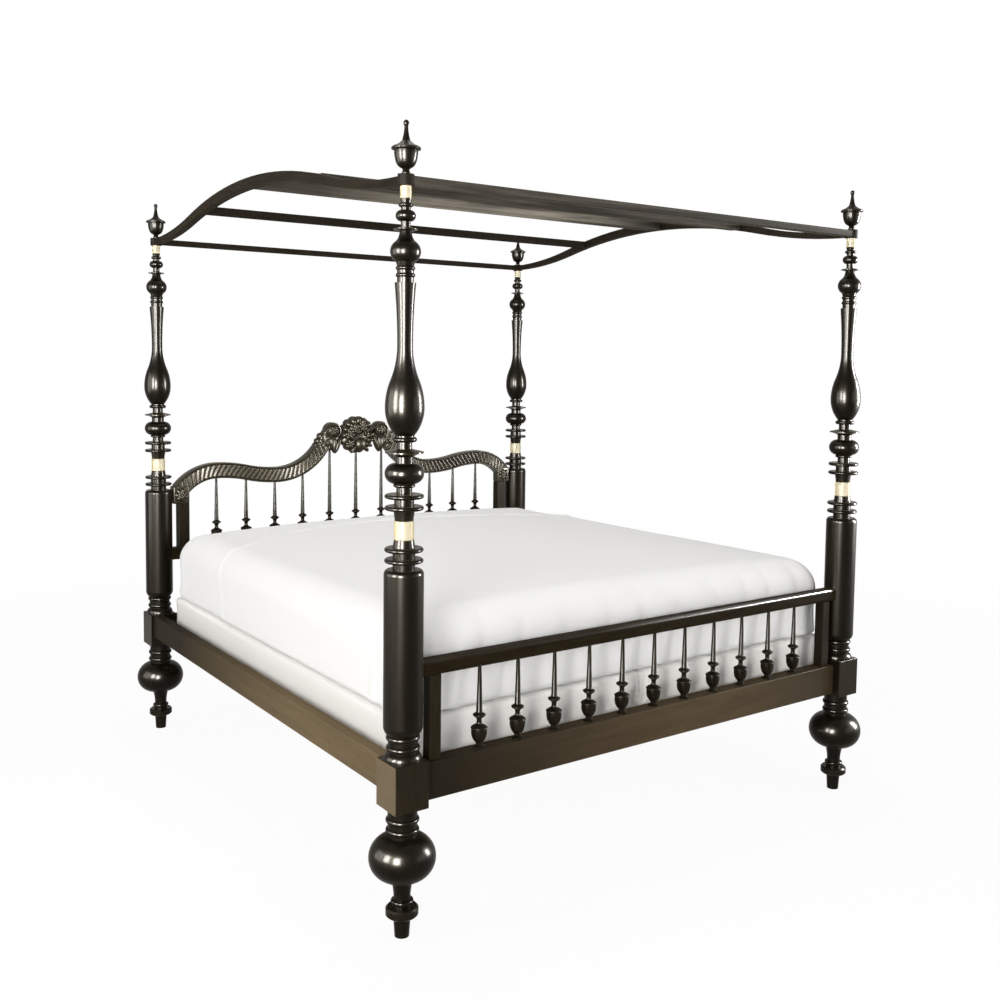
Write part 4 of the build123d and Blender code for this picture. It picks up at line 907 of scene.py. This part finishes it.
def way_out(x, y, half_x, half_y, spread):
    """The level way out at the edge of a rectangle, turning to the diagonal near a corner."""
    lean_x = max(0.0, 1 - (half_x - abs(x)) / spread)
    lean_y = max(0.0, 1 - (half_y - abs(y)) / spread)
    return Vector((math.copysign(lean_x, x), math.copysign(lean_y, y), 0)).normalized()


def soft_top(bm, centre, half_x, half_y, cells, spread, height, reach=None):
    """A grid at a height given by a function, and the (place, way out) of each edge vertex to carry on.

    With reach, the grid ends towards the head at the length reach(x), and isn't carried on there.
    """
    grid = bmesh.ops.create_grid(bm, x_segments=cells[0], y_segments=cells[1], size=1)["verts"]
    outs = {}
    for v in grid:
        x = bunched(v.co.x) * half_x
        far = reach(x) if reach else half_y
        y = -half_y + (bunched(v.co.y) + 1) / 2 * (far + half_y)
        at_hem = reach and v.co.y > 1 - 1e-6 and abs(v.co.x) < 1 - 1e-6
        if v.is_boundary and not at_hem:
            outs[v] = (Vector((x, y, 0)), way_out(x, y, half_x, half_y, spread))
        v.co = Vector((centre[0] + x, centre[1] + y, height(x, y)))
    return outs


def carry_on(bm, outs, place):
    """Extrudes the edge of a sheet by one ring and moves it: place(base, out) gives each new spot."""
    edges = [edge for edge in bm.edges if edge.is_boundary and all(v in outs for v in edge.verts)]
    made = bmesh.ops.extrude_edge_only(bm, edges=edges)["geom"]
    fresh = {v for v in made if isinstance(v, bmesh.types.BMVert)}
    carried = {}
    for v in fresh:
        for edge in v.link_edges:
            old = edge.other_vert(v)
            if old in outs and old not in fresh:
                carried[v] = outs[old]
    for v, (base, out) in carried.items():
        v.co = place(base, out)
    return carried


def roll(radius, steps, start):
    """(way out, drop) pairs round a rolled edge, from the slope start down to upright."""
    turns = [start + (math.pi / 2 - start) * (step + 1) / steps for step in range(steps)]
    return [
        (radius * (math.sin(turn) - math.sin(start)), radius * (math.cos(start) - math.cos(turn)))
        for turn in turns
    ]


box_spring_cloth = white_cloth("box spring cloth", CLOTH_WHITE, CLOTH_SHADE, crease_strength=0.10)
for node in ("left_box_spring", "right_box_spring"):
    low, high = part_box(node)
    centre = ((low.x + high.x) / 2, (low.y + high.y) / 2)
    half_x = (high.x - low.x) / 2 - BORDER_ROLL
    half_y = (high.y - low.y) / 2 - BORDER_ROLL
    deep = high.z - low.z
    rolled = roll(BORDER_ROLL, BORDER_ROLL_STEPS, 0)
    levels = rolled[:]
    for step in range(1, BORDER_STEPS):
        share = step / BORDER_STEPS
        bow = BORDER_BOW * math.sin(math.pi * share)
        levels.append((BORDER_ROLL - bow, BORDER_ROLL + (deep - 2 * BORDER_ROLL) * share))
    levels += [(out, deep - drop) for out, drop in rolled[::-1]]
    bm = bmesh.new()
    border = soft_top(bm, centre, half_x, half_y, SPRING_GRID, BORDER_SPREAD, lambda x, y: high.z)
    for out_by, drop in levels:
        def spot(base, out):
            waver = BORDER_WAVER * noise.noise(Vector((base.x, base.y, drop)) * WAVER_PITCH)
            flat = base + out * (out_by + waver)
            return Vector((centre[0] + flat.x, centre[1] + flat.y, high.z - drop))
        border = carry_on(bm, border, spot)
    bmesh.ops.contextual_create(bm, geom=list(border))
    spring = finished_piece(f"{node}_covered", bm, box_spring_cloth, "bedstead", smooth_angle=70)
    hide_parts(node)


# Mattress: a deep sprung mattress in a fitted cotton sheet, with a full, widely rolled top edge, upright
# sides and a gently crowned top that is fullest towards the foot. Its head end shows beyond the cover.
SHEET_WHITE = (0.84, 0.838, 0.835, 1)
SHEET_SHADE = (0.78, 0.778, 0.775, 1)
BED_GRID = (110, 116)
BED_CLEAR = 0.005
TOP_ROLL = 0.115
TOP_ROLL_STEPS = 9
TOP_SLOPE = 0.10
LOW_ROLL = 0.030
LOW_ROLL_STEPS = 6
CORNER_SPREAD = 0.030
CROWN = 0.020
CROWN_POWER = 2.6
CROWN_LIFT = 0.010
HOLLOW = 0.0018
HOLLOW_PITCH = 2.1
HOLLOW_LEVEL = 0.4
FOOT_FULL = 0.008
FOOT_FULL_RUN = (-0.3, 0.8)
SIDE_STEPS = 10
SIDE_BOW = 0.004
CORNER_SQUARE = 0.22
GATHER = 0.0025
GATHER_PITCH = Vector((9, 9, 2.5))

bed_low, bed_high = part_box("mattress")
bed_centre = ((bed_low.x + bed_high.x) / 2, (bed_low.y + bed_high.y) / 2)
roll_out = TOP_ROLL * (1 - math.sin(TOP_SLOPE))
roll_drop = TOP_ROLL * math.cos(TOP_SLOPE)
top_half_x = (bed_high.x - bed_low.x) / 2 - roll_out - BED_CLEAR
top_half_y = (bed_high.y - bed_low.y) / 2 - roll_out - BED_CLEAR
bed_edge = bed_high.z + CROWN_LIFT - CROWN


def crown_height(x, y):
    """The height of the mattress's top: full in the middle and towards the foot, with slight hollows."""
    across = max(0.0, 1 - (abs(x) / top_half_x) ** CROWN_POWER)
    fullness = FOOT_FULL * smooth_step(-y, *FOOT_FULL_RUN)
    hollow = HOLLOW * noise.noise(Vector((x * HOLLOW_PITCH, y * HOLLOW_PITCH, HOLLOW_LEVEL)))
    return bed_edge + (CROWN + hollow - HOLLOW) * across + fullness


def bed_side(base, out, out_by, drop, deep):
    """A place down the side of the bed; the top edge's own height dies out on the way down."""
    flat = base + out * out_by * (1 + CORNER_SQUARE * abs(2 * out.x * out.y))
    lift = (crown_height(base.x, base.y) - bed_edge) * (1 - drop / deep)
    return Vector((bed_centre[0] + flat.x, bed_centre[1] + flat.y, bed_edge + lift - drop))


def side_levels(low_end):
    """(way out, drop) pairs from the rolled top edge down the side to the height low_end."""
    levels = roll(TOP_ROLL, TOP_ROLL_STEPS, TOP_SLOPE)
    deep = bed_edge - roll_drop - low_end
    for step in range(1, SIDE_STEPS + 1):
        share = step / SIDE_STEPS
        levels.append((roll_out - SIDE_BOW * math.sin(math.pi * share), roll_drop + deep * share))
    return levels


sheet_cloth = white_cloth("cotton sheet", SHEET_WHITE, SHEET_SHADE, crease_strength=0.12)
bm = bmesh.new()
border = soft_top(bm, bed_centre, top_half_x, top_half_y, BED_GRID, CORNER_SPREAD, crown_height)
levels = side_levels(bed_low.z + LOW_ROLL)
under = roll(LOW_ROLL, LOW_ROLL_STEPS, 0)[::-1]
levels += [(roll_out - LOW_ROLL + out, bed_edge - bed_low.z - drop) for out, drop in under[1:]]
levels.append((roll_out - LOW_ROLL, bed_edge - bed_low.z))
for out_by, drop in levels:
    def spot(base, out):
        gather = GATHER * noise.noise(Vector((base.x, base.y, drop)) * GATHER_PITCH)
        return bed_side(base, out, out_by + gather, drop, bed_edge - bed_low.z)
    border = carry_on(bm, border, spot)
bmesh.ops.contextual_create(bm, geom=list(border))
mattress = finished_piece("mattress_in_sheet", bm, sheet_cloth, "mattress", smooth_angle=80)
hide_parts("mattress")


# Cover: a light cotton coverlet laid over the mattress from the foot to well short of the head, drawn
# down over three sides, puffed along the foot, and turned back once at its head edge.
COVER_GRID = (110, 96)
COVER_LIFT = 0.0045
COVER_THICK = 0.003
COVER_LOW = 0.012
HEM_MIDDLE = 0.74
HEM_SIDE = 0.50
HEM_CURVE = 2.2
HEM_LEAN = 0.05
HEM_SIDE_RUN = 0.06
HEM_SIDE_START = 0.5
HEM_TURN = (
    (0.005, 0.001), (0.008, 0.004), (0.006, 0.007), (0.000, 0.0085),
    (-0.012, 0.0075), (-0.026, 0.0045), (-0.038, 0.001), (-0.046, -0.002),
)
DRAG = 0.0015
DRAG_ACROSS = 3
DRAG_SLANT = 2
DRAG_ALONG = 7
DRAG_LEVEL = 2.0
FOOT_FOLDS = 0.004
FOOT_PUFFS = 0.021
FOOT_PUFF_WIDE = 0.165
FOOT_PUFF_WANDER = 0.4
FOOT_PUFF_PITCH = 3
FOOT_PUFF_ROUND = 0.6
FOOT_PUFF_LOW = 1.05
FOOT_PUFF_FADE = (0.01, 0.1)
SIDE_FOLDS = 0.005
RIPPLE_PITCH = Vector((11, 1.7, 0.8))
CORNER_FOLD = 0.008
CORNER_FOLD_PLACE = 0.07
CORNER_FOLD_WIDE = 0.03


def hem_reach(x):
    """How far the cover reaches towards the head: furthest in the middle of the bed."""
    share = abs(x) / top_half_x
    lean = HEM_LEAN * x / top_half_x * (1 - share)
    return HEM_MIDDLE + (HEM_SIDE - HEM_MIDDLE) * share**HEM_CURVE - lean


def cover_height(x, y):
    """The cover's own height: the mattress's, and a faint drag from the corners."""
    slanted = x * DRAG_ACROSS + y * DRAG_SLANT
    drag = DRAG * noise.noise(Vector((slanted, y * DRAG_ALONG, DRAG_LEVEL)))
    return crown_height(x, y) + COVER_LIFT + drag


bm = bmesh.new()
border = soft_top(
    bm, bed_centre, top_half_x, top_half_y, COVER_GRID, CORNER_SPREAD, cover_height, hem_reach
)
skirt = side_levels(bed_low.z + COVER_LOW)
skirt_deep = skirt[-1][1]
for out_by, drop in skirt:
    def spot(base, out):
        share = drop / skirt_deep
        side = abs(out.x)
        ripples = noise.noise(Vector((base.x, base.y, share)) * RIPPLE_PITCH)
        folds = (SIDE_FOLDS * side + FOOT_FOLDS * (1 - side)) * ripples * share
        wander = FOOT_PUFF_WANDER * noise.noise(Vector((base.x * FOOT_PUFF_PITCH, 0, share)))
        puff = abs(math.sin(math.pi * (base.x / FOOT_PUFF_WIDE + wander))) ** FOOT_PUFF_ROUND
        at_foot = smooth_step(-base.y, top_half_y - FOOT_PUFF_FADE[0], top_half_y)
        at_foot *= smooth_step(top_half_x - abs(base.x), 0, FOOT_PUFF_FADE[1])
        folds += FOOT_PUFFS * puff * at_foot * math.sin(math.pi * min(1.0, share * FOOT_PUFF_LOW))
        corner = math.hypot(top_half_x - abs(base.x), top_half_y + base.y)
        from_fold = (corner - CORNER_FOLD_PLACE) / CORNER_FOLD_WIDE
        folds += CORNER_FOLD * share * math.exp(-(from_fold**2))
        hem_back = HEM_SIDE_RUN * share * smooth_step(base.y, HEM_SIDE - HEM_SIDE_START, HEM_SIDE)
        place = bed_side(base, out, out_by + COVER_LIFT + folds, drop, bed_edge - bed_low.z)
        return place + Vector((0, -hem_back, COVER_LIFT * (1 - share)))
    border = carry_on(bm, border, spot)
bmesh.ops.recalc_face_normals(bm, faces=bm.faces[:])
bm.normal_update()
open_edges = [edge for edge in bm.edges if edge.is_boundary]
hem_edges = [edge for edge in open_edges if not all(v in border for v in edge.verts)]
hem_verts = {v for edge in hem_edges for v in edge.verts}
hem = {v: (v.co.copy(), v.normal.copy()) for v in hem_verts}
for along, up in HEM_TURN:
    def spot(base, out):
        return base + Vector((0, along, 0)) + out * up
    hem = carry_on(bm, hem, spot)
cover = finished_piece("bed_cover", bm, sheet_cloth, "mattress", smooth_angle=80)
thickness = cover.modifiers.new("cloth thickness", "SOLIDIFY")
thickness.thickness = COVER_THICK
thickness.offset = 1


# Studio: a pale floor that keeps a faint shadow near the bed and fades to white, and a white surround.
# Soft lamps stand at the left of the camera, at the left, broad at the right front and above, and
# stronger ones that show only in glossy surfaces give the lacquer its gleams.
FLOOR_WHITE = (0.92, 0.92, 0.92, 1)
FLOOR_SIZE = 60
FLOOR_DROP = 0.0005
FLOOR_SHOWN = 0.94
FLOOR_FADE = (2.0, 5.5)
SURROUND_LIGHT = (1.0, 0.995, 0.985, 1)
SURROUND_STRENGTH = 0.30
LAMP_WHITE = (1.0, 0.99, 0.97)


def white_to_the_eye(tree):
    """A socket that is 1 for rays from the camera, a reflection or a see-through surface."""
    path = tree.nodes.new("ShaderNodeLightPath")
    first = tree.nodes.new("ShaderNodeMath")
    first.operation = "MAXIMUM"
    tree.links.new(path.outputs["Is Camera Ray"], first.inputs[0])
    tree.links.new(path.outputs["Is Glossy Ray"], first.inputs[1])
    second = tree.nodes.new("ShaderNodeMath")
    second.operation = "MAXIMUM"
    tree.links.new(first.outputs["Value"], second.inputs[0])
    tree.links.new(path.outputs["Is Transmission Ray"], second.inputs[1])
    return second.outputs["Value"]


bpy.ops.mesh.primitive_plane_add(size=FLOOR_SIZE, location=(0, 0, -FLOOR_DROP))
floor = bpy.context.object
floor.name = "studio_floor"
floor_material = bpy.data.materials.new("studio floor")
floor_material.use_nodes = True
floor_tree = floor_material.node_tree
floor_shader = floor_tree.nodes["Principled BSDF"]
floor_shader.inputs["Base Color"].default_value = FLOOR_WHITE
floor_shader.inputs["Roughness"].default_value = 0.95
floor_shader.inputs["Specular IOR Level"].default_value = 0.0
floor_glow = floor_tree.nodes.new("ShaderNodeEmission")
floor_glow.inputs["Color"].default_value = (1, 1, 1, 1)
floor_place = floor_tree.nodes.new("ShaderNodeTexCoord")
floor_distance = floor_tree.nodes.new("ShaderNodeVectorMath")
floor_distance.operation = "LENGTH"
floor_tree.links.new(floor_place.outputs["Object"], floor_distance.inputs[0])
floor_fade = value_range(floor_tree, floor_distance.outputs["Value"], *FLOOR_FADE, FLOOR_SHOWN, 1)
floor_share = product(floor_tree, white_to_the_eye(floor_tree), floor_fade)
floor_mix = floor_tree.nodes.new("ShaderNodeMixShader")
floor_tree.links.new(floor_share, floor_mix.inputs["Fac"])
floor_tree.links.new(floor_shader.outputs["BSDF"], floor_mix.inputs[1])
floor_tree.links.new(floor_glow.outputs["Emission"], floor_mix.inputs[2])
floor_tree.links.new(floor_mix.outputs["Shader"], floor_tree.nodes["Material Output"].inputs["Surface"])
floor.data.materials.append(floor_material)

world = bpy.data.worlds.new("white studio")
bpy.context.scene.world = world
world.use_nodes = True
world_tree = world.node_tree
world_light = world_tree.nodes["Background"]
world_light.inputs["Color"].default_value = SURROUND_LIGHT
world_light.inputs["Strength"].default_value = SURROUND_STRENGTH
world_shown = world_tree.nodes.new("ShaderNodeBackground")
world_shown.inputs["Color"].default_value = (1, 1, 1, 1)
world_mix = world_tree.nodes.new("ShaderNodeMixShader")
world_tree.links.new(white_to_the_eye(world_tree), world_mix.inputs["Fac"])
world_tree.links.new(world_light.outputs["Background"], world_mix.inputs[1])
world_tree.links.new(world_shown.outputs["Background"], world_mix.inputs[2])
world_tree.links.new(world_mix.outputs["Shader"], world_tree.nodes["World Output"].inputs["Surface"])


def soft_lamp(name, place, target, *, wide, tall, power, gleam=False):
    """A soft lamp that faces the target and isn't seen itself; a gleam shows only in glossy surfaces."""
    light = bpy.data.lights.new(name, "AREA")
    light.shape = "RECTANGLE"
    light.size = wide
    light.size_y = tall
    light.energy = power
    light.color = LAMP_WHITE
    lamp = bpy.data.objects.new(name, light)
    bpy.context.scene.collection.objects.link(lamp)
    lamp.location = place
    lamp.rotation_euler = (Vector(target) - Vector(place)).to_track_quat("-Z", "Y").to_euler()
    lamp.visible_camera = False
    lamp.visible_diffuse = not gleam


soft_lamp("key", (-3.8, -3.3, 2.0), (0, 0, 0.9), wide=1.5, tall=1.8, power=82)
soft_lamp("left", (-4.8, 0.4, 2.3), (0, 0, 0.8), wide=1.2, tall=1.8, power=62)
soft_lamp("right", (2.2, -5.1, 1.7), (0, 0, 0.7), wide=2.6, tall=1.8, power=90)
soft_lamp("top", (0, 0.2, 4.9), (0, 0, 0.6), wide=3.0, tall=3.0, power=102)
soft_lamp("key gleam", (-3.7, -3.4, 1.7), (-1, -1, 1.2), wide=1.3, tall=2.0, power=2600, gleam=True)
soft_lamp("left gleam", (-4.6, -1.3, 1.9), (-1, -1, 1.2), wide=1.3, tall=2.0, power=1900, gleam=True)
soft_lamp("left panel", (-4.6, 1.2, 1.6), (-1, 0, 1.2), wide=2.6, tall=2.6, power=450, gleam=True)
soft_lamp("right gleam", (4.1, -2.6, 1.8), (0, -1, 1.2), wide=0.9, tall=2.0, power=1700, gleam=True)


# Camera: at standing eye height off the left foot corner of the bed, looking slightly down across it
# towards the right head corner, with a small shift for the framing.
CAMERA_PLACE = (-2.5793, -3.8054, 1.7106)
CAMERA_TURN = 0.6227
CAMERA_DIP = 0.0702
CAMERA_ROLL = 0.0122
CAMERA_LENS = 39.193
CAMERA_SENSOR = 36
CAMERA_SHIFT = (-0.0073, -0.0650)

camera_data = bpy.data.cameras.new("camera")
camera_data.sensor_width = CAMERA_SENSOR
camera_data.lens = CAMERA_LENS
camera_data.shift_x, camera_data.shift_y = CAMERA_SHIFT
camera = bpy.data.objects.new("camera", camera_data)
bpy.context.scene.collection.objects.link(camera)
camera.matrix_world = (
    Matrix.Translation(CAMERA_PLACE)
    @ Matrix.Rotation(-CAMERA_TURN, 4, "Z")
    @ Matrix.Rotation(math.pi / 2 - CAMERA_DIP, 4, "X")
    @ Matrix.Rotation(CAMERA_ROLL, 4, "Z")
)
bpy.context.scene.camera = camera
bpy.context.scene.view_settings.view_transform = "Standard"
